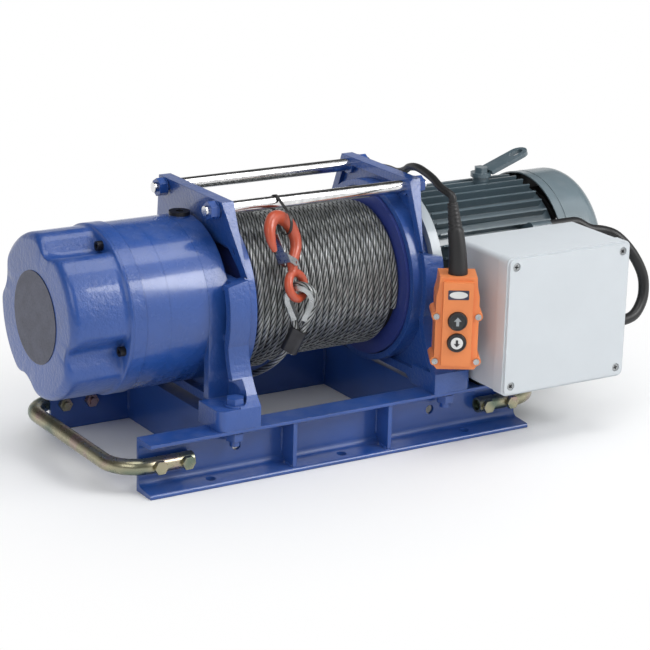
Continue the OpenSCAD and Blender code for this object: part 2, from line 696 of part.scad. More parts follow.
// ---- Motor ----
motor_bolt_d = 9;
shaft_end = fan_x + 40;
module drive_shaft() {
  color("silver") {
    disc(bearing_plate_x + 2, shaft_end - bearing_plate_x - 2, shaft_r);
    about_axis(input_gear_x) gear(sun_teeth, gear_w, shaft_r - 1);
  }
}
module rotor() { color("slategray") disc(motor_x + 40, motor_l - 90, 52, shaft_r); }
module cooling_fan() {
  color("dimgray") {
    disc(fan_x + 10, 24, 26, shaft_r);
    disc(fan_x + 10, 3, 92, 25);
    for (k = [0 : 8]) rotate_about_axis(40 * k) translate([fan_x + 12, -1.5, axis_z + 25]) cube([20, 3, 65]);
  }
}
module motor_flange() {
  color("lightsteelblue") difference() {
    disc(motor_face, motor_flange_t, motor_flange_r, shaft_r + running_gap);
    for (k = [0 : 5]) rotate_about_axis(60 * k + 30) translate([motor_face - 1, 0, axis_z + 100]) rotate([0, 90, 0])
      cylinder(h = 40, r = motor_bolt_d / 2);
  }
}
module motor_bolts() {
  color("silver") for (k = [0 : 5]) rotate_about_axis(60 * k + 30)
    translate([motor_x, 0, axis_z + 100]) rotate([0, 90, 0]) {
      hex_bar(15, 6);
      translate([0, 0, -motor_flange_t - 8]) cylinder(h = motor_flange_t + 9, r = motor_bolt_d / 2 - 0.2);
    }
}
core_r = fin_r - fin_h;
neck_l = 16;
lead_x = motor_end - 26;
lead_angle = 60;
lead_r = fan_cover_r + 8.25;
module motor_housing() {
  color("darkslategray") difference() {
    union() {
      disc(motor_x, neck_l, 88);
      disc(motor_x + neck_l, motor_end - motor_x - neck_l, core_r);
      for (k = [0 : fin_count - 1]) rotate_about_axis(360 * k / fin_count)
        translate([motor_x + neck_l, -fin_t / 2, axis_z + core_r - 2]) cube([motor_l - neck_l - 6, fin_t, fin_h + 2]);
      translate([lug_x, 0, axis_z + core_r - 2]) cylinder(h = fin_h + 8, r = 12);
      rotate_about_axis(lead_angle) {
        translate([lead_x - 34, -9, axis_z + core_r - 2]) cube([24, 18, lead_r - core_r + 2]);
        translate([lead_x - 34, 0, axis_z + lead_r]) rotate([0, 90, 0]) cylinder(h = 24, r = 8.4);
        translate([lead_x - 12, 0, axis_z + lead_r]) rotate([0, 90, 0]) cylinder(h = 12, r = 8.2);
      }
    }
    disc(motor_x + 30, motor_l - 50, 76);
    disc(motor_x - 1, motor_l + 20, shaft_r + running_gap);
  }
}
module fan_cover() {
  color("cadetblue") about_axis(fan_x) {
    rotate_extrude($fn = 96) difference() {
      union() {
        square([fan_cover_r, fan_cover_l - fan_edge]);
        square([fan_cover_r - fan_edge, fan_cover_l]);
        translate([fan_cover_r - fan_edge, fan_cover_l - fan_edge]) circle(fan_edge);
      }
      translate([-1, -1]) square([fan_cover_r - fan_cover_t + 1, fan_cover_l - fan_edge + 1]);
      translate([-1, -1]) square([fan_cover_r - fan_edge + 1, fan_cover_l - fan_cover_t + 1]);
      translate([fan_cover_r - fan_edge, fan_cover_l - fan_edge]) circle(fan_edge - fan_cover_t);
      for (r = [22 : 10 : fan_cover_r - fan_edge - 6]) translate([r, fan_cover_l - 5]) square([5, 10]);
      translate([fan_cover_r - 0.8, 12]) square([2, 2.5]);
    }
    for (k = [0 : 3]) rotate(45 * k) translate([fan_edge - fan_cover_r, -3, fan_cover_l - fan_cover_t])
      cube([2 * (fan_cover_r - fan_edge), 6, fan_cover_t]);
  }
}
fan_edge = 28;
lug_x = motor_x + 145;
lug_top = axis_z + fin_r + 6;
// A flat bar bent up from the motor, with a long eye at its raised end.
module lifting_lug() {
  rise = 20;
  color("darkslategray") translate([lug_x, 0, lug_top]) {
    difference() {
      cylinder(h = 6, r = 15);
      translate([0, 0, -1]) cylinder(h = 8, r = 6.5);
    }
    translate([0, -15, 0]) rotate([0, -rise, 0]) translate([12, 0, 0]) difference() {
      union() {
        cube([58, 30, 6]);
        translate([58, 15, 0]) cylinder(h = 6, r = 15);
      }
      translate([0, 0, -8]) rotate([0, rise, 0]) translate([-12, -1, -10]) cube([6, 32, 30]);
      hull() for (x = [50, 61]) translate([x, 15, -1]) cylinder(h = 8, r = 6, $fn = 32);
    }
    cylinder(h = 7, r = 6);
    translate([0, 0, 6]) hex_bar(18, 8);
  }
}

// ---- Control box ----
module box_prism(y, l, inset) {
  translate([box_mid_x, 0, box_mid_z]) along_y(y, l)
    round_rect(box_w - 2 * inset, box_h - 2 * inset, box_corner_r - min(inset, 4));
}
lid_back = box_front + lid_depth;
lid_screw_in = 14;
gland_l = 12;
lead_in_y = box_back - 58.5;
lead_in_z = box_z + 55;
cable_in_x = box_x + 27;
cable_in_z = box_z + 16;
module box_corners() {
  for (i = [-1, 1], j = [-1, 1])
    translate([box_mid_x + i * (box_w / 2 - lid_screw_in), 0, box_mid_z + j * (box_h / 2 - lid_screw_in)]) children();
}
module control_box() {
  color("gainsboro") difference() {
    union() {
      difference() {
        box_prism(box_back, box_back - lid_back, 1.5);
        box_prism(box_back - box_wall, box_back - lid_back, 1.5 + box_wall);
      }
      intersection() {
        box_prism(box_back, box_back - lid_back, 1.5);
        box_corners() translate([0, box_back, 0]) rotate([90, 0, 0]) cylinder(h = box_back - lid_back, r = 11);
      }
      translate([box_x + box_w - 5, lead_in_y, lead_in_z]) rotate([0, 90, 0]) {
        cylinder(h = 9, r = 15);
        cylinder(h = gland_l + 5, r = 12);
      }
      translate([cable_in_x, box_back - 3, cable_in_z]) rotate([-90, 0, 0]) cylinder(h = gland_l + 3, r = 9);
    }
    box_corners() translate([0, lid_back + 20, 0]) rotate([90, 0, 0]) cylinder(h = 30, r = 2.4);
  }
}
module control_box_lid() {
  color("gainsboro") difference() {
    union() {
      box_prism(lid_back, lid_depth - 3, 0);
      box_prism(lid_back, lid_depth, 3);
    }
    difference() {
      box_prism(lid_back + 1, lid_depth - box_wall + 1, box_wall);
      box_corners() translate([0, lid_back + 2, 0]) rotate([90, 0, 0]) cylinder(h = lid_depth, r = 10);
    }
    box_corners() translate([0, lid_back + 1, 0]) rotate([90, 0, 0]) cylinder(h = lid_depth + 5, r = 2.6);
    box_corners() translate([0, box_front + 3, 0]) rotate([90, 0, 0]) cylinder(h = 5, r = 6);
  }
}
module lid_screws() {
  color("silver") box_corners() translate([0, box_front + 3, 0]) rotate([-90, 0, 0]) difference() {
    union() {
      translate([0, 0, -2.2]) cylinder(h = 2.2, r = 5);
      cylinder(h = 32, r = 2.3);
    }
    for (a = [0, 90]) translate([0, 0, -3]) rotate(a) translate([-3.2, -0.6, 0]) cube([6.4, 1.2, 2]);
  }
}
// A bent plate carries the box from the rail's top flange.
module box_bracket() {
  color("dimgray") difference() {
    union() {
      translate([box_x + 14, box_back, rail_h]) cube([box_w - 40, 3, box_z + 150 - rail_h]);
      translate([box_x + 14, -rail_y + 6, rail_h]) cube([70, rail_y - 6 + box_back + 3, 3]);
    }
    translate([box_x + 84, box_back - 1, rail_h - 1]) cube([box_w, 5, box_z - rail_h + 8]);
    translate([cable_in_x, box_back - 1, cable_in_z]) rotate([-90, 0, 0]) cylinder(h = 5, r = 10);
  }
}

// ---- Motor lead ----
// It leaves a gland between the motor and the box, and turns back into the box's side.
lead_start = [lead_x, -lead_r * sin(lead_angle), axis_z + lead_r * cos(lead_angle)];
lead_end = [box_x + box_w + gland_l, lead_in_y, lead_in_z];
lead_points = [lead_start + [6, 0, 0], lead_start + [34, 0, 0], [424, -105.8, 274.5], [443, -112.5, 264],
  [465, -119, 260], [482, -129, 252], [501, -142, 228], [514, -152, 198], [513, -159, 172], [502, -165, 153],
  [484, -170, 141], lead_end + [24, 0, 1], lead_end + [6, 0, 0]];
module motor_lead() {
  color("black") sweep(concat([lead_start], spline(lead_points, 2), [lead_end]), 8, 12);
}

// ---- Pendant ----
// It hangs by its cable beside the motor's side plate, turned towards the operator.
module on_pendant() {
  translate([pendant_at[0], pendant_at[1], 0]) rotate([0, 0, pendant_turn]) children();
}
module pendant_outline(d) {
  w = pendant_w / 2 - d;
  h = pendant_h / 2 - d;
  translate([0, pendant_z]) {
    polygon([[-w + 4, -h], [w - 4, -h], [w, -h + 5], [w, h - 28], [w - 3, h - 14], [w - 4, h], [-w + 4, h],
      [-w + 3, h - 14], [-w, h - 28], [-w, -h + 5]]);
    if (d == 0) for (s = [-1, 1], z = lug_zs) translate([s * lug_out, z]) {
      circle(lug_r);
      translate([s > 0 ? -lug_r : 0, -lug_r]) square([lug_r, 2 * lug_r]);
    }
  }
}
lug_r = 6.5;
lug_out = pendant_w / 2 - 1;
lug_zs = [10, -54];
button_seat = 15;
module button_wells(y) {
  for (z = [up_z, down_z]) translate([0, y, z]) rotate([90, 0, 0]) children();
}
module pendant_screw_spots(y) {
  for (s = [-1, 1], z = lug_zs) translate([s * lug_out, y, pendant_z + z]) rotate([90, 0, 0]) children();
}
module pendant_front() {
  color("darkorange") on_pendant() difference() {
    union() {
      along_y(pendant_split_y, pendant_split_y - pendant_front_y - 6) pendant_outline(0);
      along_y(pendant_split_y, pendant_split_y - pendant_front_y) intersection() {
        pendant_outline(3);
        translate([0, pendant_z]) square([pendant_w - 18, pendant_h - 12], center = true);
      }
    }
    along_y(pendant_split_y + 1, pendant_split_y - pendant_front_y - 8) pendant_outline(7);
    button_wells(pendant_front_y + 20) cylinder(h = 30, r = button_r + free_gap);
    pendant_screw_spots(pendant_split_y + 1) cylinder(h = 60, r = 2.2);
  }
}
module pendant_back() {
  color("darkorange") on_pendant() difference() {
    along_y(pendant_back_y, pendant_back_y - pendant_split_y) pendant_outline(0);
    along_y(pendant_back_y - 4, pendant_back_y - pendant_split_y) pendant_outline(7);
  }
}
module pendant_screws() {
  color("silver") on_pendant() pendant_screw_spots(pendant_front_y + 6) {
    cylinder(h = 2.5, r = 4.2);
    translate([0, 0, 6 + pendant_front_y - pendant_split_y + 0.2]) cylinder(h = pendant_split_y - pendant_front_y - 5, r = 2);
  }
}
module button(z) {
  on_pendant() translate([0, pendant_front_y - button_travel - 1, z]) rotate([-90, 0, 0]) {
    cylinder(h = button_seat + button_travel, r = button_r);
    translate([0, 0, button_travel + 11]) cylinder(h = 2.5, r = button_r + 1.5);
  }
}
module up_button() { color("black") button(up_z); }
module down_button() { color("black") button(down_z); }
pendant_top = pendant_z + pendant_h / 2;
boot_foot = pendant_at + [0, 0, pendant_top];
boot_path = concat([boot_foot], spline([boot_foot + [0, 0, 6], boot_foot + [0, 3, 30], boot_foot + [0, 8, 52],
  boot_foot + [0, 14, 74], boot_foot + [0, 20, 95]], 2));
boot_radii = [15.5, 15.2, 14.6, 13.8, 12.8, 11.6, 10.2, 9.2, 8.3, 7.4];
module pendant_boot() {
  color("black") sweep(boot_path, boot_radii, 20, [1, 0, 0]);
}

// ---- Pendant cable ----
cable_d = 11;
coil_x = 252;
coil_y = 268;
coil_r = 62;
boot_end = boot_path[len(boot_path) - 1];
boot_way = unit(boot_end - boot_path[len(boot_path) - 2]);
// From the boot over the side plate, down behind the motor and into the coil.
cable_points = [boot_end, boot_end + 9 * boot_way, [146, -156, 368], [149, -132, 375], [155, -100, 378],
  [159, -76, 378], [165, -50, 372], [172, -28, 362], [178, 0, 353], [183, 34, 350], [187, 66, 343], [190, 92, 322], [192, 130, 268], [194, 152, 200], [198, 170, 130],
  [205, 184, 70], [214, 194, 26], [230, 200, 7], [coil_x, coil_y - coil_r, 7]];
// Out of the coil's far side, over the rear rail, under the motor and into the box.
return_points = [[coil_x - coil_r, coil_y, 17], [coil_x - coil_r, coil_y - 26, 26], [192, 208, 56], [200, 182, 80],
  [212, 156, 86], [224, 122, 80], [cable_in_x, 60, 62], [cable_in_x, 0, 56], [cable_in_x, -50, 68],
  [cable_in_x, -84, 94], [cable_in_x, box_back + gland_l + 8, cable_in_z]];
module pendant_cable() {
  color("black") {
    sweep(spline(cable_points, 3), cable_d / 2, 10);
    sweep(concat(spline(return_points, 3), [[cable_in_x, box_back + gland_l, cable_in_z]]), cable_d / 2, 10);
  }
}
module cable_coil() {
  color("black") translate([coil_x, coil_y, 0]) rotate_extrude() translate([coil_r - cable_d, 0.5])
    square([2 * cable_d, 2 * cable_d]);
}

// ---- Hook and rope end ----
function leaned(p, a) = [p[0], p[1] * cos(a) - p[2] * sin(a), p[1] * sin(a) + p[2] * cos(a)];
function turned(p, a) = [p[0] * cos(a) - p[1] * sin(a), p[0] * sin(a) + p[1] * cos(a), p[2]];
eye_r = 17.5;
eye_wire_r = 6;
hook_at = [-63, -flange_r - 6.5, axis_z + 34];
hook_turn = 25;
hook_lean = -18;
module on_hook() {
  translate(hook_at) rotate([0, 0, hook_turn]) rotate([hook_lean, 0, 0]) children();
}
// The bowl follows this centre line from the neck to the tip, in the hook's own X and Z.
hook_path = [[1, 0, 20], [3, 0, 30], [12, 0, 40], [20, 0, 50], [22, 0, 66], [14, 0, 84], [-2, 0, 95], [-17, 0, 95],
  [-28, 0, 84], [-31, 0, 69], [-29, 0, 56]];
hook_radii = [7, 8, 8, 8.5, 9, 9.5, 9.5, 9.5, 8.5, 7, 4.5];
latch_at = [-1, 31];
latch_pin_r = 2;
module rope_hook() {
  path = spline(hook_path, 2);
  radii = [for (i = [0 : len(path) - 1]) let (j = floor(i / 2), t = i / 2 - j)
    hook_radii[j] * (1 - t) + hook_radii[min(j + 1, len(hook_radii) - 1)] * t];
  color("orangered") on_hook() {
    rotate([90, 0, 0]) rotate_extrude() translate([eye_r, 0]) circle(eye_wire_r);
    sweep(path, radii, 12, [0, 1, 0]);
    translate([latch_at[0], 11, latch_at[1]]) rotate([90, 0, 0]) cylinder(h = 22, r = latch_pin_r);
  }
}
// A bent strip: two ears on the pin, and a tongue that closes the throat.
ear_in = 8.6;
strip_t = 1.5;
module hook_latch() {
  color("silver") on_hook() translate([latch_at[0], 0, latch_at[1]]) difference() {
    union() {
      for (y = [-ear_in, ear_in + strip_t]) along_y(y, strip_t) {
        circle(4.5);
        polygon([[-3, -4], [-13, 3], [-14.4, 14], [-12.9, 14], [3, 4]]);
      }
      along_y(ear_in + strip_t, 2 * (ear_in + strip_t)) polygon([[-13, 3], [-11.5, 3], [-14, 17], [-15.5, 17]]);
      along_y(6, 12) polygon([[-15.5, 17], [-15.2, 15], [-13.7, 15], [-19.5, 44], [-21, 44]]);
    }
    along_y(20, 40) circle(latch_pin_r + running_gap);
  }
}
thimble_at = [-58.5, -flange_r - 10.5, axis_z + 15.5];
thimble_turn = -45;
thimble_lean = 2;
groove_r = 15.5;
rope_r = rope_d / 2 - 0.3;
loop_r = groove_r + rope_d / 2;
loop_drop = 40;
leg_half = 5.2;
leg_turn = atan2(loop_drop, leg_half) - acos(loop_r / norm([loop_drop, leg_half]));
leg_l = sqrt(loop_drop * loop_drop + leg_half * leg_half - loop_r * loop_r);
ferrule_l = 38;
ferrule_lean = 24;
module on_thimble() {
  translate(thimble_at) rotate([0, 0, thimble_turn]) rotate([thimble_lean, 0, 0]) children();
}
// The section is carried round the crown and along both legs, which start just inside it.
module around_thimble(l) {
  rotate([90, 0, 0]) {
    rotate(-leg_turn) rotate_extrude(angle = 180 + 2 * leg_turn) children();
    for (s = [0, 1]) mirror([s, 0, 0]) rotate(-leg_turn) rotate([90, 0, 0]) translate([loop_r - 2, 0, -0.3])
      linear_extrude(l + 0.3) scale(0.99) translate([2 - loop_r, 0]) children();
  }
}
module thimble() {
  color("lightgray") on_thimble() around_thimble(24) difference() {
    translate([groove_r - 2, -7]) square([7, 14]);
    translate([loop_r, 0]) circle(rope_d / 2);
  }
}
module on_ferrule() {
  on_thimble() translate([0, 0, -loop_drop]) rotate([0, ferrule_lean, 0]) children();
}
module ferrule() {
  color("dimgray") on_ferrule() translate([0, 0, -ferrule_l]) difference() {
    linear_extrude(ferrule_l - 3) {
      square([2 * leg_half, 14], center = true);
      for (x = [-leg_half, leg_half]) translate([x, 0]) circle(7);
    }
    for (x = [-leg_half, leg_half]) translate([x, 0, -1]) cylinder(h = ferrule_l + 2, r = rope_r + nut_gap);
  }
}
function pitched(p, a) = [p[0] * cos(a) + p[2] * sin(a), p[1], p[2] * cos(a) - p[0] * sin(a)];
function below_ferrule(d) =
  thimble_at + turned(leaned([0, 0, -loop_drop] + pitched([-leg_half, 0, -ferrule_l - d], ferrule_lean), thimble_lean), thimble_turn);
tail_points = [below_ferrule(2), below_ferrule(12), [-84, -100, 133], [-93, -80, 118], [-100, -50, 104],
  [-107, -16, 96], [-112, 20, 97], [-113, 60, 114]];
module rope_tail() {
  color("darkgray") {
    on_thimble() {
      around_thimble(leg_l) translate([loop_r, 0]) circle(rope_r);
    }
    on_ferrule() for (x = [-leg_half, leg_half]) {
      translate([x, 0, 0]) sphere(rope_r);
      translate([x, 0, -ferrule_l - 2]) cylinder(h = ferrule_l + 2, r = rope_r);
    }
    sweep(spline(tail_points, 3), rope_r, 12);
  }
}
// The tie loops round the tie bar and the top of the hook.
tie_loop = [[-tie_y, axis_z + tie_z, tie_d / 2 + 0.4], [-flange_r + 22, axis_z + 116, 16.5]];
tie_wrap_x = hook_at[0] - 5;
module tie_outline(d) {
  way = atan2(tie_loop[1][1] - tie_loop[0][1], tie_loop[1][0] - tie_loop[0][0]);
  gap = norm([tie_loop[1][0] - tie_loop[0][0], tie_loop[1][1] - tie_loop[0][1]]);
  translate([tie_loop[0][0], tie_loop[0][1]]) rotate(way) {
    circle(tie_loop[0][2] + d);
    translate([gap, 0]) circle(tie_loop[1][2] + d);
    polygon([[0, -tie_loop[0][2] - d], [gap, -tie_loop[1][2] - d], [gap, tie_loop[1][2] + d], [0, tie_loop[0][2] + d]]);
  }
}
module cable_tie() {
  color("black") across(tie_wrap_x, 4) difference() {
    tie_outline(1.2);
    tie_outline(0);
  }
}

front_rail();
rear_rail();
rail_gussets();
left_crossmember();
right_crossmember();
left_handle();
right_handle();
handle_bolts();
left_side_plate();
right_side_plate();
foot_bolts();
foot_nuts();
front_tie_bar();
rear_tie_bar();
tie_bar_nuts();
drum();
wound_rope();
drum_bushes();
gear_end_cover();
cover_screws();
name_disc();
oil_plug();
bearing_plate();
input_ring_gear();
output_ring_gear();
input_carrier();
output_carrier();
input_planet_1();
input_planet_2();
input_planet_3();
output_planet_1();
output_planet_2();
output_planet_3();
drive_shaft();
rotor();
cooling_fan();
motor_flange();
motor_housing();
motor_bolts();
fan_cover();
lifting_lug();
control_box();
control_box_lid();
lid_screws();
box_bracket();
motor_lead();
pendant_front();
pendant_back();
pendant_screws();
up_button();
down_button();
pendant_boot();
pendant_cable();
cable_coil();
rope_hook();
hook_latch();
thimble();
ferrule();
rope_tail();
cable_tie();
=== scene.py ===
import json
import math
import random

import bmesh
import bpy
from mathutils import Matrix, Vector


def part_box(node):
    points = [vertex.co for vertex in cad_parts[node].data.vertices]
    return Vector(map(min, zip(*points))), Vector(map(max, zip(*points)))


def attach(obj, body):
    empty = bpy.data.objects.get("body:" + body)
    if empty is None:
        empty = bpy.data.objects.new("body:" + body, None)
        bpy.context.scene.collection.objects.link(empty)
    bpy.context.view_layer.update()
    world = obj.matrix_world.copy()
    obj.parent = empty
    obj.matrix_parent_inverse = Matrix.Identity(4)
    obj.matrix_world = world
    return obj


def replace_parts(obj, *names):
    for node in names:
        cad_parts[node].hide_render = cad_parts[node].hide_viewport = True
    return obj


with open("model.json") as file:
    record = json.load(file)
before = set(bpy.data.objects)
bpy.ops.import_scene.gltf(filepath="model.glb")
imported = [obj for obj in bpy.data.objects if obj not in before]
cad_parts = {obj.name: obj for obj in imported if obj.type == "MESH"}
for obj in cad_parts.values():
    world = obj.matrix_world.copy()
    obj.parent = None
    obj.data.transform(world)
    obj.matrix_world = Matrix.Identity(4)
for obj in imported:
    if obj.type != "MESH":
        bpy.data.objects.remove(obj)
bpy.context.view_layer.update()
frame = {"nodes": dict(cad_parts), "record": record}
MM = 0.001
AXIS = Vector((0, 0, 0.215))


# ---------------------------------------------------------------- camera
def place_camera():
    """A long lens, a little above the winch, looking from the gearbox end across the drum."""
    lens = bpy.data.cameras.new("camera")
    lens.lens = 131.1
    lens.sensor_width = 36
    lens.clip_end = 50
    camera = bpy.data.objects.new("camera", lens)
    bpy.context.scene.collection.objects.link(camera)
    bpy.context.scene.camera = camera
    heading = Matrix.Rotation(math.radians(-32.31), 4, "Z")
    tilt = Matrix.Rotation(math.radians(90 - 17.23), 4, "X")
    roll = Matrix.Rotation(math.radians(1.58), 4, "Z")
    camera.matrix_world = Matrix.Translation((-1.65775, -2.72245, 1.13957)) @ heading @ tilt @ roll


place_camera()


# ---------------------------------------------------------------- small tools
def smooth_path(points, steps):
    """Points on a curve that passes through all the given ones."""
    points = [Vector(p) for p in points]
    last = len(points) - 1
    path = []
    for i in range(last):
        a, b, c, d = points[max(i - 1, 0)], points[i], points[i + 1], points[min(i + 2, last)]
        for j in range(steps):
            t = j / steps
            path.append(0.5 * (2 * b + (c - a) * t + (2 * a - 5 * b + 4 * c - d) * t * t
                               + (3 * b - a - 3 * c + d) * t * t * t))
    path.append(points[last])
    return path


def path_length(path):
    return sum((b - a).length for a, b in zip(path, path[1:]))


def ahead_at(path, i):
    """The direction of a path at one of its points."""
    return (path[min(i + 1, len(path) - 1)] - path[max(i - 1, 0)]).normalized()


def circle(count):
    """Evenly spaced angles round a full turn."""
    return [2 * math.pi * k / count for k in range(count)]


def level(stops, t):
    """The value at t on a line that is straight between the given stops."""
    for (a, low), (b, high) in zip(stops, stops[1:]):
        if t <= b:
            return low + (high - low) * (t - a) / (b - a)
    return stops[-1][1]


def rounded_box(half_wide, half_high, corner, inset=0, steps=8):
    """A rectangle with round corners, given by its half sizes and drawn an inset inside its edge."""
    points = []
    for quarter, (sx, sz) in enumerate([(1, 1), (-1, 1), (-1, -1), (1, -1)]):
        for k in range(steps + 1):
            a = math.pi / 2 * (quarter + k / steps)
            points.append((sx * (half_wide - corner) + (corner - inset) * math.cos(a),
                           sz * (half_high - corner) + (corner - inset) * math.sin(a)))
    return points


def round_ring(shape, place, side, over, radius, count):
    """A ring of points round a place, in the plane of two directions."""
    return [shape.verts.new(place + radius * (math.cos(a) * side + math.sin(a) * over))
            for a in circle(count)]


def skin(shape, rings, ends=True):
    """Joins rings of the same count into a skin, closed by its ends or back to its first ring."""
    count = len(rings[0])
    faces = []
    for a, b in zip(rings, rings[1:] if ends else rings[1:] + rings[:1]):
        for k in range(count):
            j = (k + 1) % count
            faces.append(shape.faces.new((a[k], a[j], b[j], b[k])))
    if ends:
        shape.faces.new(list(reversed(rings[0])))
        shape.faces.new(rings[-1])
    return faces


def spin_line(shape, verts, centre, axis, steps, closed=True):
    """Turns a line of points about an axis into a surface."""
    edges = [shape.edges.new(pair) for pair in zip(verts, verts[1:] + verts[:1] if closed else verts[1:])]
    bmesh.ops.spin(shape, geom=verts + edges, cent=centre, axis=axis, angle=2 * math.pi,
                   steps=steps, use_merge=True)


RECORD_SLOTS = {material["slot"] for material in frame["record"]["materials"]}


def finish_mesh(name, shape, body, slot, angle=35):
    """Closes a bmesh into an object that rides on a body."""
    bmesh.ops.recalc_face_normals(shape, faces=shape.faces)
    mesh = bpy.data.meshes.new(name)
    shape.to_mesh(mesh)
    shape.free()
    piece = bpy.data.objects.new(name, mesh)
    bpy.context.scene.collection.objects.link(piece)
    shade(piece, angle)
    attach(piece, body)
    slot in RECORD_SLOTS
    return piece


def shade(piece, angle):
    for polygon in piece.data.polygons:
        polygon.use_smooth = True
    piece.data.set_sharp_from_angle(angle=math.radians(angle))


def tube(name, points, radius, body, steps=5):
    """A round cord as a curve through the given points."""
    path = smooth_path(points, steps)
    curve = bpy.data.curves.new(name, "CURVE")
    curve.dimensions = "3D"
    curve.bevel_depth = 1.0
    curve.bevel_resolution = 4
    curve.use_fill_caps = True
    spline = curve.splines.new("POLY")
    spline.points.add(len(path) - 1)
    for point, place in zip(spline.points, path):
        point.co = (*place, 1)
        point.radius = radius
    spline.use_smooth = True
    piece = bpy.data.objects.new(name, curve)
    bpy.context.scene.collection.objects.link(piece)
    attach(piece, body)
    return piece, path


def millimetres(points):
    return [Vector(p) * MM for p in points]


# ---------------------------------------------------------------- cords
CABLE = 11 * MM
COIL = Vector((0.252, 0.268, 0))
PENDANT = Vector((0.149, -0.200, 0))


def boot_line():
    """The middle of the rubber boot over the pendant, up to where the cable leaves it."""
    foot = PENDANT + Vector((0, 0, 0.2575))
    shifts = [(0, 0, 0), (0, 0, 6), (0, 3, 30), (0, 8, 52), (0, 14, 74), (0, 20, 95)]
    return [foot + shift for shift in millimetres(shifts)]


def coil_turns():
    """Nearly four turns lying two by two: out, in, then back over the first pair."""
    slots = [(67.5, 6.2), (56.5, 6.2), (56.5, 17.2), (67.5, 17.2)]
    points = []
    steps = 18
    for i in range(1, int(3.75 * steps) + 1):
        turn = i / steps
        here, part = min(int(turn), 3), turn - int(turn)
        there = min(here + 1, 3)
        blend = max(0, (part - 0.75) / 0.25)
        blend = blend * blend * (3 - 2 * blend)
        radius = slots[here][0] + (slots[there][0] - slots[here][0]) * blend
        height = slots[here][1] + (slots[there][1] - slots[here][1]) * blend
        angle = math.radians(-90) + 2 * math.pi * turn
        points.append(COIL + Vector((radius * math.cos(angle), radius * math.sin(angle), height)) * MM)
    return points


def lay_pendant_cable():
    """From the boot over the right plate, down behind the motor to its coil, then under the drum."""
    up = boot_line()
    way = (smooth_path(up, 2)[-1] - smooth_path(up, 2)[-2]).normalized()
    over = [up[-1], up[-1] + 9 * MM * way] + millimetres([
        (146, -156, 368), (149, -132, 375), (155, -100, 378), (159, -76, 378), (165, -50, 372),
        (172, -28, 362), (178, 0, 353), (183, 34, 350), (187, 66, 343), (190, 92, 322), (192, 130, 268),
        (194, 152, 200), (198, 170, 130), (205, 184, 70), (214, 194, 26), (228, 200, 9), (243, 200.8, 6.2)])
    back = millimetres([
        (186, 250, 24), (188, 232, 36), (194, 205, 60), (202, 180, 80), (213, 154, 85), (224, 122, 80),
        (232, 60, 62), (232, 0, 56), (232, -50, 68), (232, -84, 94), (232, -93.5, 98), (232, -101.5, 98)])
    cable, path = tube("pendant_cord", over + coil_turns() + back, CABLE / 2, "frame")
    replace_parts(cable, "pendant_cable", "cable_coil")
    path_length(path)


def lay_motor_lead():
    """From its gland on the motor, behind the box, round its end and into its side."""
    angle = math.radians(60)
    gland = AXIS + Vector((0.374, -0.12125 * math.sin(angle), 0.12125 * math.cos(angle)))
    loop = [gland + shift for shift in millimetres([(0, 0, 0), (12, 0, 0), (34, 0, 0)])]
    loop += millimetres([
        (424, -105.8, 274.5), (443, -112.5, 264), (465, -119, 260), (482, -129, 252), (501, -142, 228),
        (514, -152, 198), (513, -159, 172), (502, -165, 153), (484, -170, 141), (455, -172, 138),
        (439, -172, 137), (429, -172, 137)])
    lead, path = tube("motor_cord", loop, 0.008, "frame")
    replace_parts(lead, "motor_lead")
    path_length(path)


lay_pendant_cable()
lay_motor_lead()


# ---------------------------------------------------------------- wire rope
ROPE = 10 * MM
STRANDS = 6


def rope_mesh(name, path, body, radius, side, lay=0.066, per_strand=4):
    """Six strands laid round a core: each ring is a lobed outline, turned a little further than the last."""
    count = STRANDS * per_strand
    shape = bmesh.new()
    weave = shape.loops.layers.uv.new("along")
    rings, run, runs = [], 0.0, []
    side = Vector(side)
    for i, place in enumerate(path):
        ahead = ahead_at(path, i)
        side = (side - side.dot(ahead) * ahead).normalized()
        across = ahead.cross(side)
        if i:
            run += (place - path[i - 1]).length
        runs.append(run)
        twist = 2 * math.pi * run / lay
        ring = []
        for angle in circle(count):
            reach = radius * (0.84 + 0.16 * abs(math.sin(angle * STRANDS / 2)) ** 0.6)
            turned = angle + twist
            outward = math.cos(turned) * side + math.sin(turned) * across
            ring.append(shape.verts.new(place + reach * outward))
        rings.append(ring)
    for i, face in enumerate(skin(shape, rings)):
        step, k = divmod(i, count)
        corners = ((runs[step], k), (runs[step], k + 1), (runs[step + 1], k + 1), (runs[step + 1], k))
        for loop, (along, around) in zip(face.loops, corners):
            loop[weave].uv = (along / 0.01, around / per_strand)
    return finish_mesh(name, shape, body, "rope_steel", 60)


def helix(radius, start, pitch, turns, step=0.0052):
    """A winding about the drum axis that starts at the bottom of the drum."""
    count = int(turns * 2 * math.pi * radius / step)
    path = []
    for i in range(count + 1):
        part = turns * i / count
        angle = 2 * math.pi * part - 0.5 * math.pi
        path.append(AXIS + Vector((start + pitch * part, radius * math.cos(angle), radius * math.sin(angle))))
    return path


